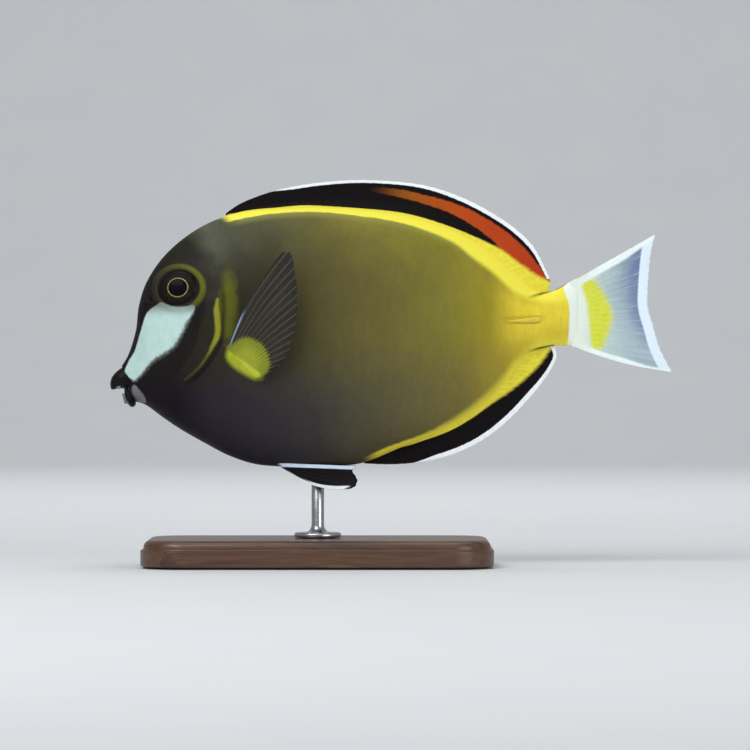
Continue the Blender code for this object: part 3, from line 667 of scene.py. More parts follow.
class Finish(Graph):
    """A material in the making. Each kind of finish paints its own look over the place on the fish."""

    def __init__(self, name: str, **values: float) -> None:
        """Makes the material and paints it.

        Args:
            name: The material's name.
            values: Plain values of the shader's inputs, with spaces written as underscores.
        """
        self.material = bpy.data.materials.new(name)
        self.material.use_nodes = True
        super().__init__(self.material.node_tree)
        self.feed(**values)
        self.place = self.node("ShaderNodeTexCoord", "Object", {}).shade(1 / MM)
        self.paint()

    def paint(self) -> None:
        """Feeds the shader with the finish's own look."""
        raise NotImplementedError

    def feed(self, **sources: Source) -> None:
        """Feeds the shader's inputs, whose names have underscores for spaces."""
        for name, source in sources.items():
            self.join(source, self.tree.nodes["Principled BSDF"].inputs[name.replace("_", " ")])

    def scales(self, scale: float, mottle: Source) -> Value:
        """The shade of the shared fine scales and mottling, whose node also puts out their relief."""
        inputs = {"Place": self.place, "Scale": scale, "Mottle": mottle}
        return self.node("ShaderNodeGroup", "Shade", inputs, node_tree=bpy.data.node_groups[GRAIN])

    def ray_noise(self, across: float, outwards: float, scale: float, detail: float) -> Value:
        """Noise from 0 to 1 that changes so often from ray to ray, and so often along each ray."""
        rays = self.vector(self.field("ray_phase") * across, self.field("reach") * outwards, 0.0)
        return self.noise(scale, detail, rays)


def dress(obj: bpy.types.Object, slot: Slot | None, *nodes: str) -> None:
    """Sets a finished piece on the fish's body and hides the solids that it stands for.

    Args:
        obj: The piece, in place.
        slot: Not used.
        nodes: Names of the solids that it replaces.
    """
    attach(obj, ROOT_BODY)
    if nodes:
        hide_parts(*nodes)
    LOG.info("%s: %d faces", obj.name, len(obj.data.polygons))


class SkinFinish(Finish):
    """Olive flank, dark face, white cheek, yellow bands and yellow stalk, over very fine scales.

    Attributes:
        back: Distances behind the snout, and the colour of the upper flank at each.
        middle: The same along the middle of the flank.
        belly: The same along the lower flank.
    """

    back: Rows = (
        (8, 22, 17, 20), (18, 34, 34, 24), (24, 37, 36, 27), (30, 84, 87, 70), (36, 73, 75, 59),
        (46, 80, 79, 55), (64, 99, 95, 47), (82, 125, 119, 47), (100, 128, 122, 44), (118, 140, 130, 40),
        (126, 170, 154, 42), (136, 234, 213, 58),
    )
    middle: Rows = (
        (6, 18, 12, 17), (20, 28, 26, 20), (31, 38, 36, 26), (42, 50, 49, 33), (52, 60, 57, 36),
        (67, 84, 78, 44), (92, 106, 100, 48), (108, 122, 117, 46), (121, 150, 136, 38), (130, 216, 194, 54),
        (136, 230, 208, 60),
    )
    belly: Rows = (
        (6, 18, 11, 17), (22, 19, 13, 23), (33, 40, 35, 46), (45, 45, 41, 52), (66, 58, 55, 54),
        (84, 84, 79, 58), (100, 104, 97, 60), (114, 121, 111, 55), (126, 162, 145, 48), (136, 214, 192, 58),
    )

    def paint(self) -> None:
        """Paints the flank's colours, the head's marks and the bands."""
        behind = self.axis("X") + MIDDLE_BEHIND
        height = (self.noise(0.12) - 0.5) * 0.35 + self.field("height_share")
        drawn = (height - 1.0) * 16.0 + behind
        colour = self.layers(
            self.ramp(behind, RAMP_END, self.middle),
            (height.ease(0.38, 0.95), self.ramp(drawn, RAMP_END, self.back)),
            (height.ease(0.05, -0.65), self.ramp(behind, RAMP_END, self.belly)),
        )
        colour, cheek = self.head_marks(colour)
        scales = self.scales(1.45, cheek * -0.24 + 0.32)
        # Painted shade: the crease field darkens the colour in the creases and along the stalk's folds.
        colour = self.bands(behind, colour.shade(scales)).shade(1.0 - self.field("crease"))
        relief = self.bump(scales.other("Relief"), 0.045)
        self.feed(Base_Color=colour, Roughness=self.noise(0.6, 2.0) * 0.2 + 0.42, Normal=relief)

    def head_marks(self, colour: Value) -> tuple[Value, Value]:
        """Adds the marks of the face: orbit ring, gill lines, dark bands, white cheek and grey chin, with
        painted shade in the eye's socket, in the nostrils and along the cheek's top under the eye.

        Args:
            colour: The skin's colour so far.

        Returns:
            The colour with the marks, and how far the white cheek covers it.
        """
        up = self.axis("Z") - AXIS_HEIGHT
        ragged, soft = self.noise(1.3) - 0.5, self.noise(0.4) - 0.5
        shoulder, stripe = soft * 0.7 + self.field("shoulder_patch"), ragged * 0.5 + self.field("gill_stripe")
        chin, root = ragged * 0.6 + self.field("chin_edge"), ragged * 0.5 + self.field("fin_base")
        glow, rough_edge = self.field("orbit_glow"), self.field("cheek_ragged")
        cheek = self.field("cheek_edge") + ragged * (rough_edge * 1.1 + 0.3)
        cheek = cheek / (rough_edge * 0.75 + 0.26)
        share = cheek.ease(1.0, -1.0)
        white = self.mix(soft.ease(-0.3, 0.3), tint(182, 214, 207), tint(196, 223, 217))
        white = self.mix(cheek.ease(0.1, -1.2), tint(122, 129, 127), white)
        # Painted shade: the white cheek turns grey towards its top, under the eye's rim.
        white = self.mix(up.ease(5.2, 9.8, 0.0, 0.72), white, tint(84, 84, 80))
        ring = self.mix(glow.ease(0.2, 0.9), tint(72, 66, 50), tint(94, 96, 30))
        marked = self.layers(
            colour,
            (self.field("dark_cheek") * 0.75, tint(22, 17, 19)),
            (shoulder.ease(0.35, -0.55, 0.0, 0.82), tint(102, 104, 28)),
            (stripe.ease(0.5, -0.45) * self.field("gill_glow"), tint(146, 147, 42)),
            (self.field("orbit_ring") * glow, ring),
            (self.field("socket_shadow") * 0.85, tint(16, 13, 14)),
            (share, white),
            (chin.ease(0.35, -0.5, 0.0, 0.9), tint(128, 127, 131)),
            (root.ease(1.3, -0.9, 0.0, 0.92), tint(172, 180, 46)),
            # Painted shade: near-black in the nostrils' pits.
            (self.field("nostril"), tint(10, 8, 10)),
        )
        return marked, share

    def bands(self, behind: Value, colour: Value) -> Value:
        """Adds the yellow bands along the fins' roots and the white end of the tail stalk.

        Args:
            behind: The distance behind the snout.
            colour: The skin's colour so far.

        Returns:
            The colour with the bands.
        """
        streak = self.noise(0.8, 3.0, self.stretched(0.5, 1.0, 1.6)) - 0.5
        band = self.field("back_band")
        halo = band.ease(-2.6, 0.0, 0.0, 0.5) * (behind.ease(36.0, 43.0) * behind.ease(122.0, 106.0))
        back = (streak * 0.6 + band) / behind.ease(88.0, 130.0, 0.22, 1.5)
        front = self.math("ABSOLUTE", self.axis("Y")) * -0.6 + behind
        belly = (streak * 0.8 + self.field("belly_band")) / behind.ease(92.0, 130.0, 0.45, 3.0)
        tail = streak * 0.5 + self.field("tail_white")
        return self.layers(
            colour,
            (halo, tint(150, 154, 74)),
            (back.ease(-1.0, 1.0) * front.ease(33.6, 37.2), tint(236, 226, 74)),
            (belly.ease(-1.0, 1.0) * behind.ease(80.5, 87.0), tint(244, 229, 74)),
            (tail.ease(-0.3, 0.3), tint(234, 243, 232)),
        )


# Lines and outlines of the head's and the body's marks in the side view: behind and up.
GILL_EDGE: Rows = (
    (33.6, 44.0), (34.9, 27.2), (36.0, 14.4), (36.2, 4.8), (35.2, -2.2), (32.4, -7.7), (28.8, -12.2),
    (24.3, -16.3), (19.8, -21.5), (15.0, -32.0),
)
CHEEK_PATCH: Rows = (
    (12.9, 7.9), (15.1, 9.4), (17.0, 10.3), (19.8, 9.3), (22.5, 9.0), (25.2, 9.1), (27.6, 9.4), (27.4, 7.2),
    (25.4, 3.7), (23.2, -0.7), (21.0, -4.0), (17.4, -6.6), (14.0, -8.8), (10.8, -12.5), (8.2, -14.8),
    (6.7, -14.0), (5.2, -12.3), (4.9, -11.0), (6.3, -7.9), (8.1, -5.0), (9.4, -0.8), (10.9, 4.0),
    (11.7, 6.3),
)
CHIN_PATCH: Rows = (
    (7.2, -16.6), (8.2, -15.9), (9.8, -17.6), (11.4, -19.9), (11.6, -21.7), (9.5, -22.2), (8.0, -20.5),
    (7.2, -18.3),
)
GILL_STRIPE: Rows = (
    (34.9, 11.2), (34.6, 8.2), (34.9, 5.0), (35.1, 1.2), (34.6, -1.2), (33.5, -3.4), (31.4, -7.2),
    (28.2, -11.2), (24.6, -14.1),
)
DARK_CHEEK: Rows = ((29.2, 9.5), (27.6, 4.0), (25.0, -2.6), (21.6, -8.6), (18.0, -13.2), (14.0, -17.0))
FIN_BASE: Rows = (
    (38.2, -5.4), (38.1, -7.6), (40.2, -10.1), (43.4, -12.2), (46.9, -13.9), (48.6, -12.6), (40.0, -4.2),
)
# Lines along the folds where the rear lobes of the dorsal and anal fins meet the stalk; a painted shadow is
# drawn along them.
STALK_FOLD_SHADOWS: tuple[Rows, Rows] = (
    ((134.0, 12.0), (137.0, 12.9), (140.4, 14.0), (143.0, 14.9), (145.6, 16.3)),
    ((131.5, -6.4), (134.0, -5.2), (137.0, -4.3), (142.0, -3.4)),
)
BACK_BAND: Rows = (
    (37.6, 36.0), (49.9, 38.4), (64.6, 39.3), (79.3, 38.0), (93.8, 35.6), (108.4, 30.3), (115.8, 24.8),
    (123.1, 19.3), (129.8, 13.4), (138.0, 10.5),
)
BELLY_BAND: Rows = (
    (82.0, -38.8), (87.7, -36.3), (94.7, -33.7), (101.8, -31.1), (106.5, -28.9), (111.2, -26.3),
    (115.8, -23.1), (120.5, -19.3), (125.2, -14.5), (129.9, -8.4), (138.0, -2.0),
)

# Where the white of the tail's root begins: heights, and the distance behind the snout at each.
TAIL_WHITE: Rows = (
    (-6.0, 145.9), (-3.4, 146.4), (2.0, 146.8), (6.9, 147.0), (10.5, 146.7), (13.2, 145.6), (17.5, 144.6),
)


def behind_white(places: Array) -> Array:
    """How far some places are behind the line where the white of the tail's root begins."""
    heights, line = np.transpose(TAIL_WHITE)
    return places[:, 0] - np.interp(places[:, 2], heights, line)


@dataclass
class Trunk:
    """The head, trunk and tail stalk under one skin.

    Attributes:
        ring_points: How many places one section has.
        spacing: The distance between sections in the head, and behind it.
        head_rows: How many rows of the body belong to the head.
        domes: How far the muzzle's end and the stalk's end stand out.
        cap_rings: How many rings each of these ends has.
        cover_rise: How far the gill cover's rear edge stands out.
        cover_reach: How far ahead of that edge the rise ends.
        cover_span: The lowest and the highest place of the rise.
        cover_fade: How fast it fades there.
        orbit_radii: Half the length and height of the eye's opening.
        orbit_rim: Where the rim round the eye is highest, as a share of the opening.
        orbit_rise: How far the rim stands out.
        nostrils: Where each nostril is, and its size.
        mouth_place: The middle of the mouth's hollow.
        mouth_radii: Its depth, half its width and half its height.
        spine_line: The ends of the groove of the tail spine.
    """

    ring_points: int = 288
    spacing: Pair = (0.42, 0.95)
    head_rows: int = 7
    domes: Pair = (0.6, 0.5)
    cap_rings: int = 14
    cover_rise: float = 0.8
    cover_reach: float = 9.0
    cover_span: Pair = (-17.0, 15.0)
    cover_fade: float = 5.0
    eye_place: Pair = (22.4, 14.8)
    orbit_radii: Pair = (6.1, 5.4)
    orbit_rim: float = 1.26
    orbit_rise: float = 0.62
    nostrils: Rows = ((12.9, 11.4, 0.62), (11.4, 9.6, 0.5))
    mouth_place: Pair = (7.4, -19.2)
    mouth_radii: Triple = (3.4, 2.1, 1.9)
    spine_line: Rows = ((127.2, 4.3), (137.6, 4.9))

    def __post_init__(self) -> None:
        """Lays out the plain trunk and a tree that answers where its surface is."""
        self.rings = section_rings(catmull(BODY_ROWS, self.positions()), self.ring_points)
        faces = grid_faces(len(self.rings), self.ring_points, wrap=True)
        self.tree = BVHTree.FromPolygons(self.rings.reshape(-1, 3).tolist(), faces.tolist())

    def positions(self) -> Array:
        """Where the sections are along the body's rows, closer together in the head.

        Returns:
            Real-numbered indices of the rows.
        """
        parts = []
        for i, step in enumerate(np.abs(np.diff(BODY_ROWS, axis=0))):
            length = max(math.hypot(*step[0:2]), math.hypot(*step[2:4]))
            count = math.ceil(length / self.spacing[i >= self.head_rows])
            parts.append(i + np.arange(count) / count)
        return np.append(np.concatenate(parts), len(BODY_ROWS) - 1.0)

    def at(self, behind: float, up: float, side: Side) -> tuple[Array, Vector]:
        """Where the plain trunk's surface is at one place of the side view.

        Args:
            behind: The distance behind the snout.
            up: The height on the fish.
            side: The side that is asked for.

        Returns:
            The place on the surface, and the direction outwards there.
        """
        start = Vector((behind, side.value * 60.0, up))
        spot, normal, _, _ = self.tree.ray_cast(start, Vector((0.0, -side.value, 0.0)))
        return np.array(spot), normal if normal.y * side.value > 0 else -normal

    def gill_ahead(self, behind: Array, up: Array) -> Array:
        """How far in front of the gill opening some places are."""
        line = curve(GILL_EDGE, 120)[::-1]
        return np.interp(up, line[:, 1], line[:, 0]) - behind

    def cover_share(self, up: Array) -> Array:
        """How much of the gill cover's rise there is at some heights."""
        bottom, top = self.cover_span
        return ease((top - up) / self.cover_fade) * ease((up - bottom) / self.cover_fade)

    def cover_height(self, behind: Array, up: Array) -> Array:
        """How far the gill cover stands out of the plain trunk, without its end at the opening."""
        rise = 1.0 - ease(self.gill_ahead(behind, up) / self.cover_reach)
        return self.cover_rise * rise * self.cover_share(up)

    def orbit(self, places: Array) -> tuple[Array, Array]:
        """The distance from the eye's middle as a share of its opening, and the angle from the rear."""
        x, z = ((side_view(places) - self.eye_place) / self.orbit_radii).T
        return np.hypot(x, z), np.arctan2(z, x)

    def nostril_gaps(self, places: Array) -> list[tuple[Array, float]]:
        """For each nostril the distance of some places from it, and its size."""
        behind, up = side_view(places).T
        return [(np.hypot(behind - x, up - z), size) for x, z, size in self.nostrils]

    def relief(self, places: Array) -> Array:
        """How far the skin stands out of the plain trunk, in millimetres.

        Args:
            places: Places on the plain trunk.

        Returns:
            One height for each place.
        """
        behind, up = side_view(places).T
        ahead, share = self.gill_ahead(behind, up), self.cover_share(up)
        height = self.cover_height(behind, up) * ease(ahead, -0.45, 0.1)
        height -= 0.42 * bell(ahead, -0.75, 0.55) * np.clip(share + 0.25 * ease(up, -24.0, -16.0), 0.0, 1.0)
        height += 0.16 * bell(ahead, 9.5, 1.0) * ease(up, -15.0, -8.0) * ease(up, 12.0, 6.0)
        radius, angle = self.orbit(places)
        height += self.orbit_rise * (0.8 + 0.2 * np.cos(angle - 0.6)) * bell(radius, self.orbit_rim, 0.15)
        height -= 0.3 * bell(radius, 1.04, 0.06) + ease(radius, 0.98, 0.7)
        for gap, size in self.nostril_gaps(places):
            height += 0.16 * bell(gap, 1.9 * size, 0.6 * size) - 0.9 * bell(gap, 0.0, 0.85 * size)
        height -= 0.35 * ease(edge_gap(side_view(places), self.spine_line), 1.7, 0.8)
        near = behind < 60.0
        height[near] += 0.4 * ease(outline_gap(side_view(places[near]), FIN_BASE), 2.4, -1.2)
        return height

    def creases(self, places: Array) -> Array:
        """How dark the painted shade is in the creases at the gill cover's opening, round the tail spine, in
        the groove in front of the gill cover and at the stalk's folds.

        Args:
            places: Places on the plain trunk.

        Returns:
            One share of painted shade for each place.
        """
        behind, up = side_view(places).T
        ahead, spots = self.gill_ahead(behind, up), side_view(places)
        spine_gap = edge_gap(spots, self.spine_line)
        opening = 0.42 * bell(ahead, -0.8, 0.6) * np.clip(self.cover_share(up) + 0.4, 0.0, 1.0)
        shares = [
            opening * ease(up, -26.0, -18.0) * ease(up, 20.0, 12.0),
            0.12 * ease(spine_gap, 1.5, 0.9) * ease(spine_gap, 0.2, 0.7),
            0.4 * bell(ahead, 7.4, 0.45) * ease(up, -15.0, -9.0) * ease(up, 10.0, 5.0),
        ]
        # A painted shadow line along each fold of the stalk.
        for fold in STALK_FOLD_SHADOWS:
            shares.append(0.85 * ease(edge_gap(spots, fold), 0.6, 0.15) * ease(behind, 132.0, 138.0))
        return np.maximum.reduce(shares)

    def fields(self, places: Array, height_share: Array) -> dict[str, Array]:
        """The numbers that tell the skin's finish where its marks are.

        Args:
            places: Places on the plain trunk.
            height_share: The share from the belly, -1, to the back, 1.

        Returns:
            One number for each place, by name.
        """
        spots = side_view(places)
        behind, up = spots.T
        radius, angle = self.orbit(places)
        across_patch = ((behind - 6.7) * 22.5 - (up + 13.5) * 13.3) / 26.1
        brow = np.hypot((behind - 28.2) / 7.6, (up - 24.6) / 4.9)
        shoulder = np.hypot((behind - 38.4) / 3.0, (up - 8.9) / 11.3)
        lower_shoulder = np.hypot((behind - 38.6) / 1.7, (up - 2.6) / 5.0)
        stripe_half = 0.26 + 0.62 * ease(up, -8.0, 1.0) * ease(up, 13.0, 6.0)
        cheek, chin, gill, dark = (np.full(len(places), FAR) for _ in range(4))
        head = behind < 46.0
        cheek[head] = outline_gap(spots[head], CHEEK_PATCH)
        chin[head] = outline_gap(spots[head], CHIN_PATCH)
        gill[head] = edge_gap(spots[head], curve(GILL_STRIPE, 80)) - stripe_half[head]
        dark[head] = edge_gap(spots[head], curve(DARK_CHEEK, 60))
        nostrils = [ease(gap, 1.25 * size, 0.6 * size) for gap, size in self.nostril_gaps(places)]
        return {
            "height_share": height_share,
            "cheek_edge": cheek,
            "cheek_ragged": ease(across_patch, -1.0, 4.5) * ease(up, 9.0, 3.0),
            "chin_edge": chin,
            "gill_stripe": gill,
            "gill_glow": 0.14 + 0.81 * ease(up, -14.0, 1.5),
            "dark_cheek": np.maximum(ease(dark, 3.4, 0.6), 0.55 * ease(brow, 1.0, 0.2)),
            "shoulder_patch": np.minimum(shoulder, lower_shoulder) - 1.0,
            "orbit_ring": ease(radius, 1.06, 1.17) * ease(radius, 1.5, 1.36),
            "orbit_glow": 0.62 + 0.38 * np.cos(angle - 0.35),
            "socket_shadow": ease(radius, 1.13, 1.02),
            # nostril: painted shade in the nostrils' pits.
            "nostril": np.maximum.reduce(nostrils),
            "fin_base": outline_gap(spots, FIN_BASE),
            # crease: painted shade in the creases and along the stalk's folds.
            "crease": self.creases(places),
            "back_band": up - line_height(BACK_BAND, behind),
            "belly_band": line_height(BELLY_BAND, behind) - up,
            "tail_white": behind_white(places),
        }

    def shape(self) -> Shape:
        """The closed skin with its relief, its mouth and its fields.

        Returns:
            The skin's shape.
        """
        shape = loft(self.rings, self.domes, self.cap_rings)
        first, count = self.cap_rings * self.ring_points, len(self.rings) * self.ring_points
        plain, flat = shape.places.copy(), self.rings.reshape(-1, 3)
        shape.places[first : first + count] += self.outwards() * self.relief(flat)[:, None]
        top, bottom = self.rings[:, 0:1, 2], self.rings[:, self.ring_points // 2, None, 2]
        share = np.zeros(len(plain))
        share[first : first + count] = ((2 * self.rings[:, :, 2] - top - bottom) / (top - bottom)).ravel()
        shape.fields = self.fields(plain, share)
        self.open_mouth(shape.places[: first + self.ring_points])
        return shape

    def outwards(self) -> Array:
        """The direction outwards at each place of the plain trunk's rings.

        Returns:
            One direction a row.
        """
        round_ring = np.roll(self.rings, -1, axis=1) - np.roll(self.rings, 1, axis=1)
        normal = np.cross(np.gradient(self.rings, axis=0), round_ring)
        normal /= np.linalg.norm(normal, axis=2, keepdims=True) + 1e-12
        centre = self.rings.mean(axis=1, keepdims=True)
        turned = np.sign(((self.rings - centre) * normal).sum(axis=2, keepdims=True))
        return (normal * turned).reshape(-1, 3)

    def open_mouth(self, end: Array) -> None:
        """Slides the middle of the muzzle's end backwards to form the inside of the mouth.

        Args:
            end: The places of the muzzle's end, changed here.
        """
        behind, up = self.mouth_place
        depth, half_width, half_height = self.mouth_radii
        reach = (end[:, 1] / half_width) ** 2 + ((end[:, 2] - up) / half_height) ** 2
        wall = behind + depth * np.sqrt(np.clip(1.0 - reach, 0.0, 1.0))
        end[:, 0] = np.where(reach < 1.0, np.maximum(end[:, 0], wall), end[:, 0])

    def build(self) -> None:
        """Makes the skin and puts it in place of the three solids of flesh."""
        skin = self.shape().build("skin", SkinFinish("fish_skin", Specular_IOR_Level=0.11).material)
        dress(skin, Slot.FLANK, "head", "torso", "tail_stalk")


class EyeFinish(Finish):
    """A black pupil in a thin gold ring, a dark mottled iris, and a wet clear surface over both."""

    def paint(self) -> None:
        """Paints the eye from its middle outwards."""
        radius, sine = self.field("iris_radius"), self.field("iris_sine")
        fibres = self.noise(9.0, 4.0, self.vector(self.field("iris_cosine"), sine, radius * 0.25))
        clouds = self.noise(1.5, 2.0, self.vector(radius, sine * 0.8, 0.0))
        edge = radius + (fibres * 0.16 - 0.08)
        iris = self.layers(
            self.mix(fibres.ease(0.35, 0.7), tint(15, 12, 10), tint(36, 31, 22)),
            (clouds.ease(0.45, 0.75, 0.0, 0.45), tint(58, 52, 44)),
            (radius.ease(4.9, 5.7), tint(20, 16, 18)),
        )
        gold = self.mix(fibres.ease(0.3, 0.7), tint(108, 98, 54), tint(178, 167, 104))
        colour = self.mix(edge.ease(3.32, 3.5), gold, iris)
        colour = self.mix(edge.ease(3.04, 3.16), tint(7, 5, 12), colour)
        ring = edge.ease(3.02, 3.16) * edge.ease(3.75, 3.5)
        rough = ring.ease(0.0, 1.0, 0.45, 0.28)
        self.feed(Base_Color=colour, Roughness=rough, Normal=self.bump(fibres, 0.05))


@dataclass
class Eye:
    """One eye: a flattened ball that bulges from its socket, with a raised pupil.

    Attributes:
        side: The side of the head.
        radii: Half its length, half its height and half its depth.
        bulge: How far it stands out of the plain head.
        lean: How far it faces straight out instead of along the skin's own direction.
    """

    side: Side
    radii: Triple = (6.9, 6.1, 3.2)
    bulge: float = 1.7
    lean: float = 0.35
    pupil: float = 3.1
    pupil_rise: float = 0.16
    pupil_squeeze: float = 0.92
    rings: int = 72
    segments: int = 96

    def build(self, trunk: Trunk, material: bpy.types.Material) -> None:
        """Makes the eye in its place on the trunk.

        Args:
            trunk: The trunk that it sits in.
            material: The eye's finish.
        """
        spot, normal = trunk.at(*trunk.eye_place, self.side)
        straight = Vector((0.0, self.side.value, 0.0))
        outwards = (normal * (1 - self.lean) + straight * self.lean).normalized()
        turn = np.array(straight.rotation_difference(outwards).to_matrix())
        slope = math.pi * np.linspace(0.0, 1.0, self.rings + 1)[1:-1] ** 1.25
        angle = 2 * math.pi * np.arange(self.segments) / self.segments
        slopes, angles = (grid.ravel() for grid in np.meshgrid(slope, angle, indexing="ij"))
        cosine, sine = np.append(np.cos(angles), [1.0, 1.0]), np.append(np.sin(angles), [0.0, 0.0])
        facing, off_axis = np.append(np.cos(slopes), [1.0, -1.0]), np.append(np.sin(slopes), [0.0, 0.0])
        x, z = self.radii[0] * off_axis * cosine, self.radii[1] * off_axis * sine
        radius, front = np.hypot(x, z), facing > 0
        rise = self.pupil_rise * ease(radius, self.pupil + 0.3, self.pupil - 0.5)
        rise += 0.07 * bell(radius, 3.35, 0.2)
        depth = self.bulge - self.radii[2] + self.radii[2] * facing + np.where(front, rise, 0.0)
        places = spot + np.outer(x, turn[:, 0]) + np.outer(z, turn[:, 2]) + np.outer(depth, outwards)
        shape = close_rings(places[:-2].reshape(len(slope), self.segments, 3), places[-2], places[-1])
        shape.fields = {
            "iris_radius": np.where(front, np.hypot(x, z / self.pupil_squeeze), 9.0),
            "iris_cosine": cosine,
            "iris_sine": sine,
        }
        dress(shape.build(f"eyeball_{self.side.word}", material), Slot.EYE, f"eye_{self.side.word}")


# Margins of the fins and outlines of their colours: behind and up, or for the pelvic fin behind, across, up.
DORSAL_MARGIN: Rows = (
    (37.1, 39.0), (42.6, 42.5), (52.2, 46.0), (64.0, 48.4), (78.4, 49.6), (92.8, 49.0), (104.3, 47.0),
    (115.8, 42.6), (127.4, 35.8), (135.2, 28.7), (139.5, 20.8), (140.9, 16.8), (139.9, 13.4),
)
ANAL_MARGIN: Rows = (
    (81.2, -41.1), (89.0, -41.4), (96.6, -41.0), (104.3, -39.8), (112.0, -37.4), (119.7, -33.4),
    (127.4, -27.4), (135.0, -19.4), (140.2, -12.6), (142.9, -7.2), (142.3, -3.9),
)
TAIL_MARGIN: Rows = (
    (174.6, 32.3), (173.1, 25.3), (172.2, 14.4), (172.3, 8.6), (173.8, 3.2), (176.1, -4.4), (180.0, -11.9),
)
PECTORAL_MARGIN: Rows = (
    (56.0, 26.4), (58.6, 25.3), (59.9, 18.9), (60.4, 13.1), (60.3, 8.0), (59.6, 1.3), (57.9, -4.8),
    (55.0, -9.3), (51.6, -12.2), (49.2, -13.9),
)
PELVIC_MARGIN: Rows = (
    (76.5, 7.2, -49.1), (78.5, 6.9, -48.3), (79.2, 6.2, -46.6), (78.5, 5.7, -45.0), (77.6, 5.3, -43.5),
    (79.0, 4.9, -41.9),
)
DORSAL_YELLOW: Rows = (
    (36.0, 36.4), (42.6, 39.2), (57.2, 41.1), (64.6, 41.4), (79.3, 40.5), (93.8, 39.0), (108.4, 34.8),
    (123.1, 28.4), (130.5, 23.4), (136.5, 19.2), (141.2, 17.1), (145.0, 15.5), (145.0, 5.0), (90.0, 5.0),
    (36.0, 20.0),
)
DORSAL_RED: Rows = (
    (84.0, 47.3), (93.8, 46.4), (101.1, 44.7), (108.4, 42.8), (115.8, 39.8), (123.1, 35.6), (130.5, 30.0),
    (136.4, 23.2), (139.8, 17.8), (139.0, 16.4), (130.5, 22.6), (126.0, 26.0), (123.1, 29.6), (115.8, 35.2),
    (108.4, 39.2), (101.1, 41.8), (93.8, 43.8), (84.0, 46.0),
)
ANAL_YELLOW: Rows = (
    (76.0, -36.2), (87.7, -36.9), (94.7, -35.5), (101.8, -33.2), (108.8, -30.6), (115.8, -26.6),
    (122.9, -21.4), (127.6, -18.2), (132.3, -14.4), (137.0, -9.9), (141.4, -4.2), (146.0, 0.0),
    (146.0, 12.0), (76.0, 0.0),
)
TAIL_BAR: Rows = (
    (151.0, 16.2), (153.2, 17.9), (155.3, 17.0), (158.4, 12.6), (160.5, 8.0), (160.6, 4.6), (159.6, 0.4),
    (157.2, -4.4), (155.2, -4.9), (153.9, -2.6), (153.4, 3.0), (152.6, 10.0),
)
PECTORAL_YELLOW: Rows = (
    (37.0, -7.0), (38.2, -4.4), (40.6, -2.4), (43.2, -1.0), (46.1, -1.4), (49.4, -3.6), (51.2, -7.4),
    (51.2, -10.8), (49.2, -13.6), (45.0, -17.0), (38.0, -12.0),
)
PECTORAL_CRESCENT: Rows = ((40.0, -7.6), (43.6, -9.6), (47.4, -12.6))


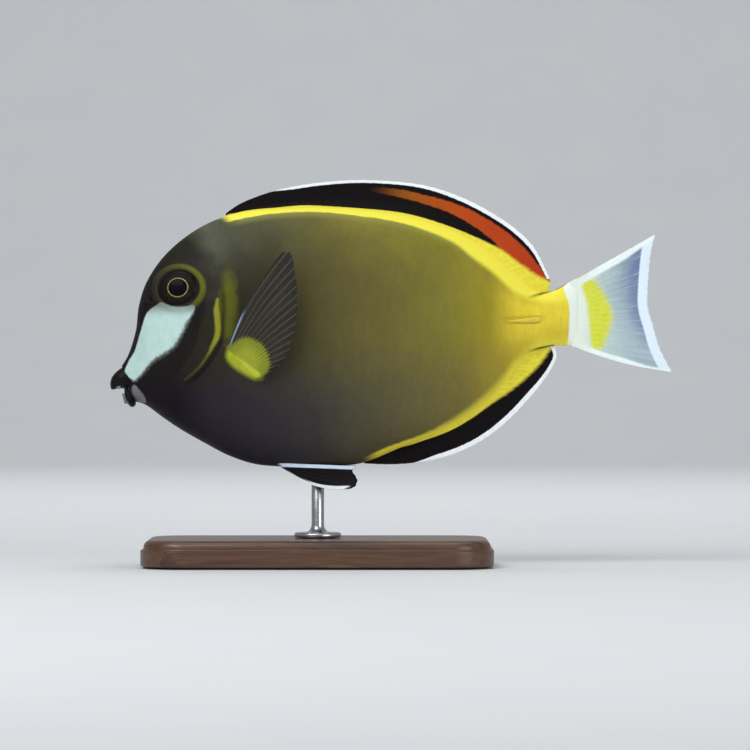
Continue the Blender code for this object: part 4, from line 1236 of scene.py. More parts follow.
@dataclass
class Fin:
    """A fin: a thin web with a low ridge over each ray, and the rays as tapered rods within it.

    A place in the fin is the share u along its root and the share v out to its margin.

    Attributes:
        name: The fin's node.
        rays: How many rays it has.
        spines: How many of the first rays are stiff spines, which don't branch.
        columns_per_ray: How finely the web is divided along its root, for each ray.
        rows: How finely it is divided from root to margin.
        web_half: Half the web's thickness.
        root_swell: How much thicker each face is at the root.
        swell_reach: Where that extra thickness ends, as a share of the way to the margin.
        spine_radius: A spine's radius at its root.
        ray_radius: A soft ray's radius at its root.
        notch: How far the margin draws in between two rays.
        ridge: How far the web rises over each ray.
        margin: The line that the rays end on.
        ends: The first and the last end of the root.
        side: The side of a paired fin.
    """

    name: str
    rays: int
    spines: int = 0
    columns_per_ray: int = 8
    rows: int = 40
    web_half: float = 0.16
    root_swell: float = 0.4
    swell_reach: float = 0.35
    spine_radius: float = 0.3
    ray_radius: float = 0.22
    notch: float = 0.008
    ridge: float = 0.1
    margin: Rows = ()
    ends: Rows = ()
    side: Side = Side.LEFT

    def root(self, u: Array) -> Array:
        """The spots on the root."""
        first, last = np.array(self.ends)
        return first + (last - first) * u[:, None]

    def tip(self, u: Array) -> Array:
        """The spots on the margin."""
        return along(self.margin, u)

    def bend(self, spots: Array, u: Array, v: Array) -> Array:
        """The places of the fin's middle surface, from spots on straight rays."""
        return np.insert(spots, 1, 0.0, axis=1)

    def fields(self, spots: Array, u: Array, v: Array) -> dict[str, Array]:
        """The numbers that the fin's finish reads at some spots of the side view."""
        raise NotImplementedError

    def centre(self, u: Array, v: Array) -> Array:
        """The places of the fin's middle surface."""
        root = self.root(u)
        return self.bend(root + (self.tip(u) - root) * v[:, None], u, v)

    def edge_line(self, u: float) -> Array:
        """The side view of the ray at a share along the root."""
        return side_view(self.centre(np.full(24, u), np.linspace(0.0, 1.0, 24)))

    def offset(self, u: Array, v: Array) -> Array:
        """How far the web's faces are from its middle: farther at the root and over each ray.

        Args:
            u: Shares along the root.
            v: Shares out to the margin.

        Returns:
            One step across the fin for each place.
        """
        swell = self.root_swell * (1.0 - ease(v / self.swell_reach))
        ridge = self.ridge * np.abs(np.cos(math.pi * (u * self.rays - 0.5))) ** 6
        half = self.web_half * (1.0 - 0.55 * v) + swell + ridge * ease(v, 0.05, 0.45) * (1.0 - 0.8 * v)
        step = 0.01
        u, v = np.clip(u, step, 1 - step), np.clip(v, step, 1 - step)
        along_u = self.centre(u + step, v) - self.centre(u - step, v)
        normal = np.cross(along_u, self.centre(u, v + step) - self.centre(u, v - step))
        return normal / (np.linalg.norm(normal, axis=1, keepdims=True) + 1e-12) * half[:, None]

    def all_fields(self, places: Array, u: Array, v: Array, reach: Array, on_ray: float) -> dict[str, Array]:
        """The fin's own numbers, and those that every fin's finish reads."""
        common = {"ray_phase": u * self.rays, "reach": reach, "on_ray": np.full(len(u), on_ray)}
        return {**self.fields(side_view(places), u, v), **common}

    def web(self) -> Shape:
        """The fin's web as a closed thin shape.

        Returns:
            The shape: both faces, and the rim between them.
        """
        columns, rows = self.rays * self.columns_per_ray + 1, self.rows + 1
        shares = np.meshgrid(np.linspace(0.0, 1.0, rows), np.linspace(0.0, 1.0, columns), indexing="ij")
        v, u = (grid.ravel() for grid in shares)
        out = v * (1.0 - self.notch * np.abs(np.sin(math.pi * (u * self.rays - 0.5))) * v**6)
        spots, offset = self.centre(u, out), self.offset(u, v)
        numbers = np.arange(rows * columns).reshape(rows, columns)
        rim = np.concatenate([numbers[0], numbers[1:, -1], numbers[-1, -2::-1], numbers[-2:0:-1, 0]])
        following = np.roll(rim, -1)
        edge = np.stack([following, rim, rim + numbers.size, following + numbers.size], axis=1)
        grid = grid_faces(rows, columns, wrap=False)
        fields = {key: np.tile(values, 2) for key, values in self.all_fields(spots, u, out, v, 0.0).items()}
        faces = [grid, grid[:, ::-1] + numbers.size, edge]
        return Shape(np.vstack([spots + offset, spots - offset]), faces, fields)

    def ray_runs(self) -> list[tuple[Array, Array, Array]]:
        """The rays as lines in the fin: whole spines, and soft rays that fork twice.

        Returns:
            For each line the shares u and v and the radius in millimetres.
        """
        runs = []
        for i in range(self.rays):
            u = (i + 0.5) / self.rays
            if i < self.spines:
                v = np.linspace(0.01, 0.99, 18)
                runs.append((np.full_like(v, u), v, self.spine_radius * (1.0 - 0.85 * v)))
                continue
            fork, second = 0.42 + 0.05 * math.sin(1.7 * i), 0.7 + 0.04 * math.sin(2.3 * i)
            v = np.linspace(0.01, fork, 9)
            runs.append((np.full_like(v, u), v, self.ray_radius * (1.0 - 0.3 * v / fork)))
            branch, twig = np.linspace(fork - 0.02, second, 7), np.linspace(second - 0.02, 0.985, 7)
            for way in (-0.2 / self.rays, 0.2 / self.rays):
                shift = way * ease(branch, fork - 0.02, 1.0)
                runs.append((u + shift, branch, self.ray_radius * (0.62 - 0.2 * branch)))
                for turn in (-0.11 / self.rays, 0.11 / self.rays):
                    shift = way * ease(twig, fork - 0.02, 1.0) + turn * ease(twig, second - 0.02, 1.05)
                    runs.append((u + shift, twig, self.ray_radius * (0.52 - 0.36 * twig)))
        return runs

    def build(self, material: bpy.types.Material, slot: Slot) -> None:
        """Makes the web in place of the fin's solid, and the rays.

        Args:
            material: The fin's finish.
            slot: The fin's material slot.
        """
        dress(self.web().build(f"{self.name}_web", material), slot, self.name)
        u_runs, v_runs, radii = zip(*self.ray_runs())
        u, v = np.concatenate(u_runs), np.concatenate(v_runs)
        places = self.centre(u, v)
        runs = np.split(places, np.cumsum([len(run) for run in u_runs])[:-1])
        rays = Lines(runs, list(radii), self.all_fields(places, u, v, v, 1.0))
        dress(rays.build(f"{self.name}_rays", 7, material), slot)


@dataclass
class MedianFin(Fin):
    """A fin in the mid plane whose root follows the back or the belly, with rays that lean back.

    Attributes:
        span: Where its root starts and ends along the body's rows.
        belly: Whether it grows from the belly.
        lean: How far the rays lean back.
        sink: How deep its root is in the body.
    """

    root_swell: float = 1.3
    swell_reach: float = 0.45
    span: Pair = (0.0, 1.0)
    belly: bool = False
    lean: float = 0.1
    sink: float = 2.0

    def root(self, u: Array) -> Array:
        """The spots on the root, a little way inside the body."""
        rows = catmull(BODY_ROWS, self.span[0] + (self.span[1] - self.span[0]) * u)
        return rows[:, 2:4] + [0.0, self.sink] if self.belly else rows[:, 0:2] - [0.0, self.sink]

    def tip(self, u: Array) -> Array:
        """The spots on the margin, farther back in the middle."""
        return along(self.margin, u + self.lean * np.sin(math.pi * u**1.5))

    def fields(self, spots: Array, u: Array, v: Array) -> dict[str, Array]:
        """The distances from the fin's margin and from the edges of its coloured bands.

        Args:
            spots: Spots of the side view.
            u: Shares along the root.
            v: Shares out to the margin.

        Returns:
            One number for each spot, by name.
        """
        margin = edge_gap(spots, curve(self.margin, 160))
        if self.belly:
            yellow, red = outline_gap(spots, ANAL_YELLOW), np.full(len(spots), FAR)
        else:
            yellow, red = outline_gap(spots, DORSAL_YELLOW), outline_gap(spots, DORSAL_RED)
            margin += 9.0 * ease(spots[:, 0], 134.0, 136.0) * ease(spots[:, 1], 18.0, 17.2)
        return {"margin_gap": margin, "yellow_edge": yellow, "red_edge": red}


class DorsalFinish(Finish):
    """Near-black web with a yellow root, a red band and a white margin.

    Attributes:
        white: Two distances behind the snout, and the white margin's width at each.
        red_stops: Distances behind the snout, and the red band's colour at each.
        yellows: The two yellows that the root's streaks go between.
    """

    white: Rows = ((49.0, -0.2), (60.0, 0.92))
    red_stops: Rows = ((84, 84, 46, 20), (96, 150, 82, 22), (110, 182, 76, 22), (136, 178, 58, 24))
    yellows: tuple[Triple, Triple] = (tint(226, 212, 60), tint(240, 227, 76))

    def paint(self) -> None:
        """Paints the black, the red and the yellow, and then the white margin."""
        behind = self.axis("X") + MIDDLE_BEHIND
        streak, grit = self.ray_noise(1.4, 1.0, 1.6, 2.0) - 0.5, self.noise(1.1) - 0.5
        red = streak * 0.7 + self.field("red_edge")
        yellow = streak * behind.ease(118.0, 136.0, 0.3, 1.3) + self.field("yellow_edge")
        yellow = yellow / behind.ease(110.0, 134.0, 0.16, 0.8)
        (start, thin), (full, wide) = self.white
        width = behind.ease(start, full, thin, wide) + behind.ease(95.0, 112.0, 0.0, 0.4)
        width = grit * 0.35 + (width - behind.ease(132.0, 143.0, 0.0, 0.55))
        colour = self.layers(
            self.mix(grit.ease(-0.2, 0.3), tint(9, 4, 8), tint(20, 13, 16)),
            (self.field("on_ray") * 0.5, tint(36, 27, 30)),
            (red.ease(0.3, -0.35) * behind.ease(80.0, 94.0), self.ramp(behind, RAMP_END, self.red_stops)),
            (yellow.ease(1.0, -1.0), self.mix(streak.ease(-0.2, 0.3), *self.yellows)),
            ((self.field("margin_gap") - width).ease(0.12, -0.12), tint(240, 246, 250)),
        )
        relief = self.bump(self.ray_noise(1.4, 1.0, 5.0, 2.0), 0.03)
        rough = grit.ease(-0.3, 0.3, 0.5, 0.66)
        self.feed(Base_Color=colour.shade(self.scales(1.2, 0.22)), Roughness=rough, Normal=relief)


class AnalFinish(DorsalFinish):
    """The same web for the anal fin, whose white margin starts farther back."""

    white: Rows = ((94.0, -0.2), (106.0, 1.25))


@dataclass
class TailFin(Fin):
    """The tail fin: rays that fan out from the end of the stalk to a hollow rear margin."""

    margin: Rows = TAIL_MARGIN
    ends: Rows = ((147.4, 16.8), (147.4, -3.4))
    bow: float = 1.2

    def bend(self, spots: Array, u: Array, v: Array) -> Array:
        """The places of the fin's middle surface, whose lower rays droop."""
        droop = np.outer(self.bow * u**3 * np.sin(math.pi * v), (0.0, 1.0))
        return np.insert(spots - droop, 1, 0.0, axis=1)

    def fields(self, spots: Array, u: Array, v: Array) -> dict[str, Array]:
        """The distances from the fin's three edges, its yellow bar and its yellow root."""
        return {
            "upper_gap": edge_gap(spots, self.edge_line(0.0)),
            "lower_gap": edge_gap(spots, self.edge_line(1.0)),
            "rear_gap": edge_gap(spots, curve(TAIL_MARGIN, 80)),
            "bar_edge": outline_gap(spots, TAIL_BAR),
            "tail_white": behind_white(np.insert(spots, 1, 0.0, axis=1)),
        }


class TailFinFinish(Finish):
    """White base, yellow bar, grey-blue web between pale rays, and white margins."""

    web_stops: Rows = ((152, 200, 217, 209), (160, 172, 193, 193), (166, 132, 149, 176), (170, 112, 128, 165))

    def paint(self) -> None:
        """Paints the web, the bar over it, and then the margins."""
        behind, up = self.axis("X") + MIDDLE_BEHIND, self.axis("Z")
        streak, fine = (self.ray_noise(1.8, 1.6, *kind) - 0.5 for kind in ((1.8, 3.0), (5.0, 2.0)))
        white = tint(229, 239, 227)
        web = self.layers(
            self.ramp(behind, 190.0, self.web_stops),
            (up.ease(92.0, 70.0, 0.0, 0.5), tint(198, 221, 217)),
            (self.field("rear_gap").ease(7.6, 3.6) * up.ease(67.0, 78.0) * 0.6, tint(106, 124, 164)),
            (streak.ease(-0.05, 0.3, 0.0, 0.4), tint(206, 222, 226)),
            (self.field("on_ray") * 0.3, tint(206, 220, 226)),
        )
        bar = streak * behind.ease(153.0, 158.0, 0.6, 2.2) + self.field("bar_edge")
        bar = bar / behind.ease(153.0, 158.0, 0.7, 1.5)
        taper = behind.ease(163.0, 174.0, 0.0, 0.9)
        upper = (self.field("upper_gap") + taper).ease(2.8, 1.6)
        lower = (self.field("lower_gap") + taper).ease(2.1, 1.1)
        edge = self.mix(behind.ease(148.0, 157.0), white, tint(240, 253, 252))
        colour = self.layers(
            white,
            ((streak * 2.2 + behind).ease(150.0, 157.5), web),
            (bar.ease(1.0, -1.0), self.mix(fine.ease(-0.2, 0.2), tint(209, 216, 52), tint(223, 229, 86))),
            ((fine + self.field("rear_gap")).ease(3.5, 3.0), tint(226, 243, 253)),
            (self.math("MAXIMUM", upper, lower), edge),
            ((streak * 0.5 + self.field("tail_white")).ease(0.3, -0.3), tint(230, 208, 66)),
        )
        relief = self.bump((fine + 0.5) * behind.ease(150.0, 162.0, 0.1, 1.0), 0.05)
        rough = streak.ease(-0.3, 0.3, 0.38, 0.52)
        self.feed(Base_Color=colour.shade(self.scales(1.4, 0.16)), Roughness=rough, Normal=relief)


@dataclass
class PectoralFin(Fin):
    """A pectoral fin that stands out from the flank, slightly cupped, with a bowed leading edge.

    Attributes:
        trunk: The trunk that it grows from.
        spread: The angle that it stands out at.
        bow: How far the leading edge bows forwards.
        cup: How far the fin's middle stands out of its plane.
        sink: How deep its root is in the flank.
    """

    web_half: float = 0.07
    ray_radius: float = 0.2
    ridge: float = 0.0
    margin: Rows = PECTORAL_MARGIN
    ends: Rows = ((38.1, -5.2), (47.0, -13.8))
    trunk: Trunk | None = None
    spread: float = math.radians(17.0)
    bow: float = 1.9
    cup: float = 1.6
    sink: float = 1.2

    def __post_init__(self) -> None:
        """Finds how far from the mid plane the fin's root is."""
        self.shares = np.linspace(0.0, 1.0, 9)
        behind, up = self.root(self.shares).T
        flank = [abs(self.trunk.at(*spot, self.side)[0][1]) for spot in zip(behind, up)]
        self.depths = np.array(flank) + self.trunk.cover_height(behind, up)

    def bend(self, spots: Array, u: Array, v: Array) -> Array:
        """The places of the fin's middle surface, which leaves the flank and cups.

        Args:
            spots: Spots on straight rays in the side view.
            u: Shares along the root.
            v: Shares out to the margin.

        Returns:
            One place for each spot.
        """
        arch = np.sin(math.pi * v)
        length = np.linalg.norm(self.tip(u) - self.root(u), axis=1)
        depth = np.interp(u, self.shares, self.depths) - self.sink * (1.0 - v) ** 2
        depth += length * math.tan(self.spread) * v + self.cup * arch
        bowed = spots + np.outer((1.0 - u) ** 1.5 * arch * self.bow, (-0.86, 0.5))
        return np.insert(bowed, 1, self.side.value * depth, axis=1)

    def fields(self, spots: Array, u: Array, v: Array) -> dict[str, Array]:
        """The distance from the yellow base's edge, the leading edge's light, and the pale crescent."""
        return {
            "yellow_edge": outline_gap(spots, PECTORAL_YELLOW),
            "edge_light": ease(u, 0.028, 0.012) * ease(v, 0.02, 0.08) * ease(v, 0.41, 0.27),
            "crescent": ease(edge_gap(spots, PECTORAL_CRESCENT), 1.6, 0.4),
        }


class PectoralFinish(Finish):
    """A dark see-through web between lighter rays, bright yellow with a toothed edge at its root."""

    teeth_per_ray: float = 1.4

    def paint(self) -> None:
        """Paints the web and the rays, and then the yellow and the edge's light."""
        phase, on_ray, light = self.field("ray_phase"), self.field("on_ray"), self.field("edge_light")
        edge = self.field("yellow_edge")
        streak = self.ray_noise(1.6, 1.4, 1.6, 3.0) - 0.5
        ridge = self.math("PINGPONG", phase + 0.5, 0.5).ease(0.16, 0.04)
        ridge = self.math("MAXIMUM", on_ray, ridge)
        tooth = self.math("PINGPONG", phase * self.teeth_per_ray, 0.5)
        share = (streak * 0.9 + (tooth * 1.9 + edge - 0.5)).ease(0.65, -0.65)
        yellow = self.layers(
            self.mix(tooth.ease(0.15, 0.45), tint(170, 178, 48), tint(140, 146, 38)),
            (edge.ease(-5.0, -0.5, 0.0, 0.8), tint(126, 132, 36)),
            (self.field("crescent"), tint(200, 210, 66)),
        )
        colour = self.layers(
            self.mix(streak.ease(-0.25, 0.3), tint(38, 35, 32), tint(54, 51, 42)),
            (ridge * 0.8, tint(84, 78, 62)),
            (share, yellow),
            (light * 0.9, tint(150, 176, 222)),
        )
        solid = self.field("reach").ease(0.5, 1.0, 0.97, 0.86)
        for cover in (share, ridge * 0.55, light, on_ray):
            solid = self.math("MAXIMUM", solid, cover)
        relief = self.bump(self.ray_noise(1.6, 1.4, 1.2, 1.0), 0.02)
        self.feed(Base_Color=colour, Alpha=solid, Roughness=self.scales(1.6, 0.2) * 0.3 + 0.15, Normal=relief)


@dataclass
class PelvicFin(Fin):
    """A pelvic fin, folded back below the belly and held a little away from the other."""

    spine_radius: float = 0.4
    ray_radius: float = 0.27
    margin: Rows = PELVIC_MARGIN
    ends: Rows = ((53.6, 2.2, -41.0), (52.6, 2.6, -40.9))
    bow: float = 2.9

    def bend(self, spots: Array, u: Array, v: Array) -> Array:
        """The places of the fin's middle surface, whose leading edge bows downwards."""
        sag = np.outer(self.bow * (1.0 - u) ** 2 * np.sin(math.pi * v), (0.0, 0.0, 1.0))
        return (spots - sag) * [1.0, self.side.value, 1.0]

    def fields(self, spots: Array, u: Array, v: Array) -> dict[str, Array]:
        """The distances from the fin's leading and trailing edges."""
        edges = {"lead_gap": self.edge_line(0.0), "trail_gap": self.edge_line(1.0)}
        return {key: edge_gap(spots, line) for key, line in edges.items()}


class PelvicFinish(Finish):
    """A black web with a white leading edge and a blue-white line along its other edge."""

    def paint(self) -> None:
        """Paints the web and its two edges."""
        reach, streak = self.field("reach"), self.ray_noise(1.6, 1.0, 1.8, 3.0) - 0.5
        lead = (self.field("lead_gap") - reach.ease(0.15, 0.7, 0.2, 1.0)).ease(0.15, -0.15)
        colour = self.layers(
            self.mix(streak.ease(-0.2, 0.3), tint(8, 4, 8), tint(20, 14, 18)),
            (self.field("on_ray") * 0.4, tint(34, 28, 32)),
            (lead * reach.ease(0.97, 0.9) * reach.ease(0.1, 0.3), tint(240, 244, 248)),
            (self.field("trail_gap").ease(1.25, 0.95) * reach.ease(0.02, 0.1), tint(208, 226, 244)),
        )
        relief = self.bump(self.ray_noise(1.6, 1.0, 5.0, 2.0), 0.05)
        rough = streak.ease(-0.3, 0.3, 0.4, 0.56)
        self.feed(Base_Color=colour.shade(self.scales(1.3, 0.3)), Roughness=rough, Normal=relief)


class LipFinish(Finish):
    """Dark lips with fine creases."""

    def paint(self) -> None:
        """Paints the lips."""
        scales = self.scales(1.9, 0.6)
        colour = self.mix(self.noise(0.9), tint(10, 7, 9), tint(26, 20, 21)).shade(scales)
        relief = self.bump(scales.other("Relief"), 0.1)
        self.feed(Base_Color=colour, Roughness=scales * 0.2 + 0.22, Normal=relief)


class ToothFinish(Finish):
    """Pale enamel, a little stained."""

    def paint(self) -> None:
        """Paints the teeth."""
        stain = self.noise(1.4)
        colour = self.mix(stain, tint(98, 104, 98), tint(138, 142, 132))
        self.feed(Base_Color=colour, Roughness=stain.ease(0.2, 0.8, 0.25, 0.4))


@dataclass
class Mouth:
    """The hood of the upper lip, the U of the lower lip, and the small teeth of both.

    Attributes:
        upper_rows: Sections of the hood from rear to front, like those of the body.
        palate_place: The middle of the hollow under the hood.
        palate_radii: Its depth, half its width and its height.
        lower_half: Places on the right half of the lower lip, each with the lip's radius.
        upper_arc: The front of the arc of the upper teeth, half its width and its depth.
        upper_root: The height of their roots.
        lower_span: Where the lower teeth start and end along the lip.
        lower_reach: How far the middle one reaches forwards.
        tooth_radii: A tooth's radius at its root and at its tip.
    """

    upper_rows: Rows = (
        (5.6, -9.6, 7.6, -17.6, 3.6), (3.4, -10.7, 5.4, -17.6, 3.7), (1.9, -11.9, 3.7, -17.2, 3.3),
        (0.75, -13.3, 1.9, -17.3, 2.6), (0.3, -14.4, 0.95, -17.5, 2.0), (0.08, -15.4, 0.35, -17.3, 1.0),
    )
    upper_dome: float = 0.08
    palate_place: Pair = (5.2, -19.2)
    palate_radii: Triple = (4.3, 2.2, 2.7)
    lower_half: Rows = (
        (5.2, 3.55, -17.0, 0.5), (5.8, 3.5, -18.9, 0.95), (6.4, 3.0, -20.3, 1.1), (6.9, 2.1, -21.3, 1.15),
        (7.1, 0.9, -21.8, 1.2),
    )
    upper_teeth: int = 10
    upper_arc: Triple = (2.2, 2.4, 2.2)
    upper_root: float = -16.3
    upper_length: float = 0.85
    lower_teeth: int = 14
    lower_span: Pair = (0.13, 0.87)
    lower_reach: float = 2.5
    tooth_radii: Pair = (0.42, 0.33)

    def upper_lip(self) -> Shape:
        """The upper lip with the hollow of the palate below it.

        Returns:
            The lip's shape.
        """
        shape = loft(section_rings(curve(self.upper_rows, 61), 96), (0.0, self.upper_dome), 8)
        behind, across, up = shape.places.T
        middle, floor = self.palate_place
        depth, half_width, height = self.palate_radii
        reach = ((behind - middle) / depth) ** 2 + (across / half_width) ** 2
        roof = floor + height * np.sqrt(np.clip(1.0 - reach, 0.0, 1.0))
        up[:] = np.where((reach < 1.0) & (up < roof), roof, up)
        crease = bell(up - (-16.1 + 0.1 * behind), 0.0, 0.35)
        across -= np.sign(across) * 0.16 * crease * ease(behind, 0.4, 1.6)
        return shape

    def lower_line(self) -> Array:
        """The rows of the whole lower lip, from its right corner round to its left one."""
        right = np.array(self.lower_half)
        return np.vstack([right, right[::-1] * [1.0, -1.0, 1.0, 1.0]])

    def teeth(self, roots: Array, tips: Array) -> Lines:
        """Teeth as short tapered lines with blunt tips.

        Args:
            roots: The place of each tooth's root.
            tips: The place of its tip.

        Returns:
            One line for each tooth.
        """
        share = np.array([0.0, 0.35, 0.7, 0.9, 0.97, 1.0])
        start, end = self.tooth_radii
        radius = (start + (end - start) * share) * [1.0, 1.0, 1.0, 1.0, 0.8, 0.35]
        runs = [root + (tip - root) * share[:, None] for root, tip in zip(roots, tips)]
        return Lines(runs, [radius] * len(runs))

    def upper_row(self) -> Lines:
        """The upper teeth, on an arc under the hood.

        Returns:
            One line for each tooth.
        """
        front, half_width, depth = self.upper_arc
        angle = math.pi * ((np.arange(self.upper_teeth) + 0.5) / self.upper_teeth - 0.5)
        behind, height = front + depth * (1.0 - np.cos(angle)) * 0.6, np.full_like(angle, self.upper_root)
        roots = np.stack([behind, half_width * np.sin(angle), height], axis=1)
        return self.teeth(roots, roots * [1.0, 0.94, 1.0] - [0.2, 0.0, self.upper_length])

    def lower_row(self) -> Lines:
        """The lower teeth, which reach forwards from the lip.

        Returns:
            One line for each tooth.
        """
        first, last = self.lower_span
        shares = first + (last - first) * (np.arange(self.lower_teeth) + 0.5) / self.lower_teeth
        places = along(self.lower_line()[:, :3], shares)
        reach = self.lower_reach * (0.55 + 0.45 * np.sin(math.pi * shares))
        tips = places * [1.0, 0.8, 1.0] + [0.0, 0.0, 0.2] - np.outer(reach, (1.0, 0.0, 0.0))
        return self.teeth(places * [1.0, 0.9, 1.0] + [0.2, 0.0, 0.0], tips)

    def build(self) -> None:
        """Makes both lips and their teeth."""
        lip = LipFinish("dark_lip", Specular_IOR_Level=0.14).material
        enamel = ToothFinish("tooth_enamel", Coat_Weight=0.3, Coat_Roughness=0.1).material
        table = curve(self.lower_line(), 64)
        lower = Lines([table[:, :3]], [table[:, 3]])
        dress(self.upper_lip().build("upper_jaw", lip), Slot.LIP, "upper_lip")
        dress(lower.build("lower_jaw", 32, lip), Slot.LIP, "lower_lip")
        dress(self.upper_row().build("upper_teeth", 12, enamel), None)
        dress(self.lower_row().build("lower_teeth", 12, enamel), None)


class SpineFinish(Finish):
    """Yellow horn, paler towards the point."""

    def paint(self) -> None:
        """Paints the horn and its fine lines."""
        lines = self.noise(1.4, 2.0, self.stretched(0.3, 2.0, 2.0))
        colour = self.mix(self.field("blade_share"), tint(222, 201, 74), tint(218, 196, 62))
        colour = self.mix(lines.ease(0.45, 0.75, 0.0, 0.3), colour, tint(192, 168, 54))
        self.feed(Base_Color=colour.shade(self.scales(1.1, 0.2)), Roughness=lines.ease(0.3, 0.7, 0.3, 0.45))


@dataclass
class TailSpine:
    """The spine on the side of the tail stalk, which can fold on the real fish: here a flat blade with its
    point forwards.

    Attributes:
        tip: Its point in the side view.
        root: Its root in the side view.
        taper: Shares of the way from point to root, and half the blade's height at each.
        sunk: How far its middle lies below the skin.
    """

    side: Side
    tip: Pair = (127.6, 4.3)
    root: Pair = (137.4, 4.9)
    taper: Rows = ((0.0, 0.12), (0.25, 0.45), (0.5, 0.72), (0.75, 0.92), (0.9, 0.9), (1.0, 0.6))
    half_thickness: float = 0.52
    sunk: float = 0.06
    points: int = 32

    def build(self, trunk: Trunk, material: bpy.types.Material) -> None:
        """Makes the spine on the trunk's surface.

        Args:
            trunk: The trunk that it lies on.
            material: Its finish.
        """
        tip, root = (trunk.at(*place, self.side)[0] for place in (self.tip, self.root))
        share, (shares, heights) = np.linspace(0.0, 1.0, 48), np.transpose(self.taper)
        radius = np.pad(np.interp(share, shares, heights), 3, mode="edge")
        radius = np.convolve(radius, np.ones(7) / 7, mode="valid")
        angle = 2 * math.pi * np.arange(self.points) / self.points
        flat = self.half_thickness / heights.max()
        circle = np.stack([0.0 * angle, flat * np.sin(angle), np.cos(angle)], axis=1)
        middle = tip + (root - tip) * share[:, None] - [0.0, self.side.value * self.sunk, 0.0]
        shape = loft(middle[:, None, :] + radius[:, None, None] * circle, (0.1, 0.25), 4)
        shape.fields = {"blade_share": ease((shape.places[:, 0] - tip[0]) / (root[0] - tip[0]), 0.0, 0.6)}
        word = self.side.word
        dress(shape.build(f"spine_blade_{word}", material), Slot.TAIL_SPINE, f"tail_spine_{word}")


class WalnutFinish(Finish):
    """Oiled walnut with long grain, growth bands and open pores, darker along its edges."""

    stops: Rows = ((0.3, 58, 36, 24), (0.48, 96, 62, 41), (0.6, 78, 49, 32), (0.75, 118, 80, 54))

    def paint(self) -> None:
        """Paints the bands, the fibres, the pores and the darker edges."""
        bend = self.noise(1.0, 2.0, self.stretched(0.006, 0.03, 0.03))
        parts = {0: self.stretched(0.012, 0.16, 0.16), 1: self.vector(0.0, bend * 3.2, bend * 2.0)}
        warp = self.node("ShaderNodeVectorMath", 0, parts, operation="ADD")
        fibre = self.noise(1.0, 3.0, self.stretched(0.05, 2.2, 2.2))
        pores = self.cells(self.stretched(0.12, 1.6, 1.6), 1.0, 1.0)
        colour = self.ramp(self.noise(1.0, 5.0, warp, 1.2), 1.0, self.stops)
        colour = colour.shade(fibre.ease(0.25, 0.75, 0.8, 1.14))
        colour = self.mix(pores.ease(0.16, 0.05, 0.0, 0.55), colour, tint(34, 20, 13))
        # Darker at the step round the base's edge, 6 mm above the floor.
        colour = colour.shade(1.0 - self.field("edge_wear") * 0.22)
        relief = self.bump(pores.ease(0.04, 0.16), 0.06)
        self.feed(Base_Color=colour, Roughness=fibre.ease(0.2, 0.8, 0.34, 0.5), Normal=relief)


class SteelFinish(Finish):
    """Turned stainless steel with fine rings round it."""

    def paint(self) -> None:
        """Paints the rings and faint smudges."""
        lines, smudge = self.noise(1.0, 3.0, self.stretched(0.4, 0.4, 6.0)), self.noise(0.25)
        colour = self.mix(smudge, tint(176, 178, 182), tint(206, 207, 209))
        rough = lines * 0.2 + smudge.ease(0.3, 0.8, 0.14, 0.24)
        self.feed(Base_Color=colour, Roughness=rough, Normal=self.bump(lines, 0.015))


class FeltFinish(Finish):
    """Dark green felt with matted fibres."""

    def paint(self) -> None:
        """Paints the fibres."""
        wool = self.noise(2.4, 5.0, distortion=1.5)
        self.feed(Base_Color=self.mix(wool, tint(18, 40, 28), tint(44, 78, 56)), Normal=self.bump(wool, 0.3))


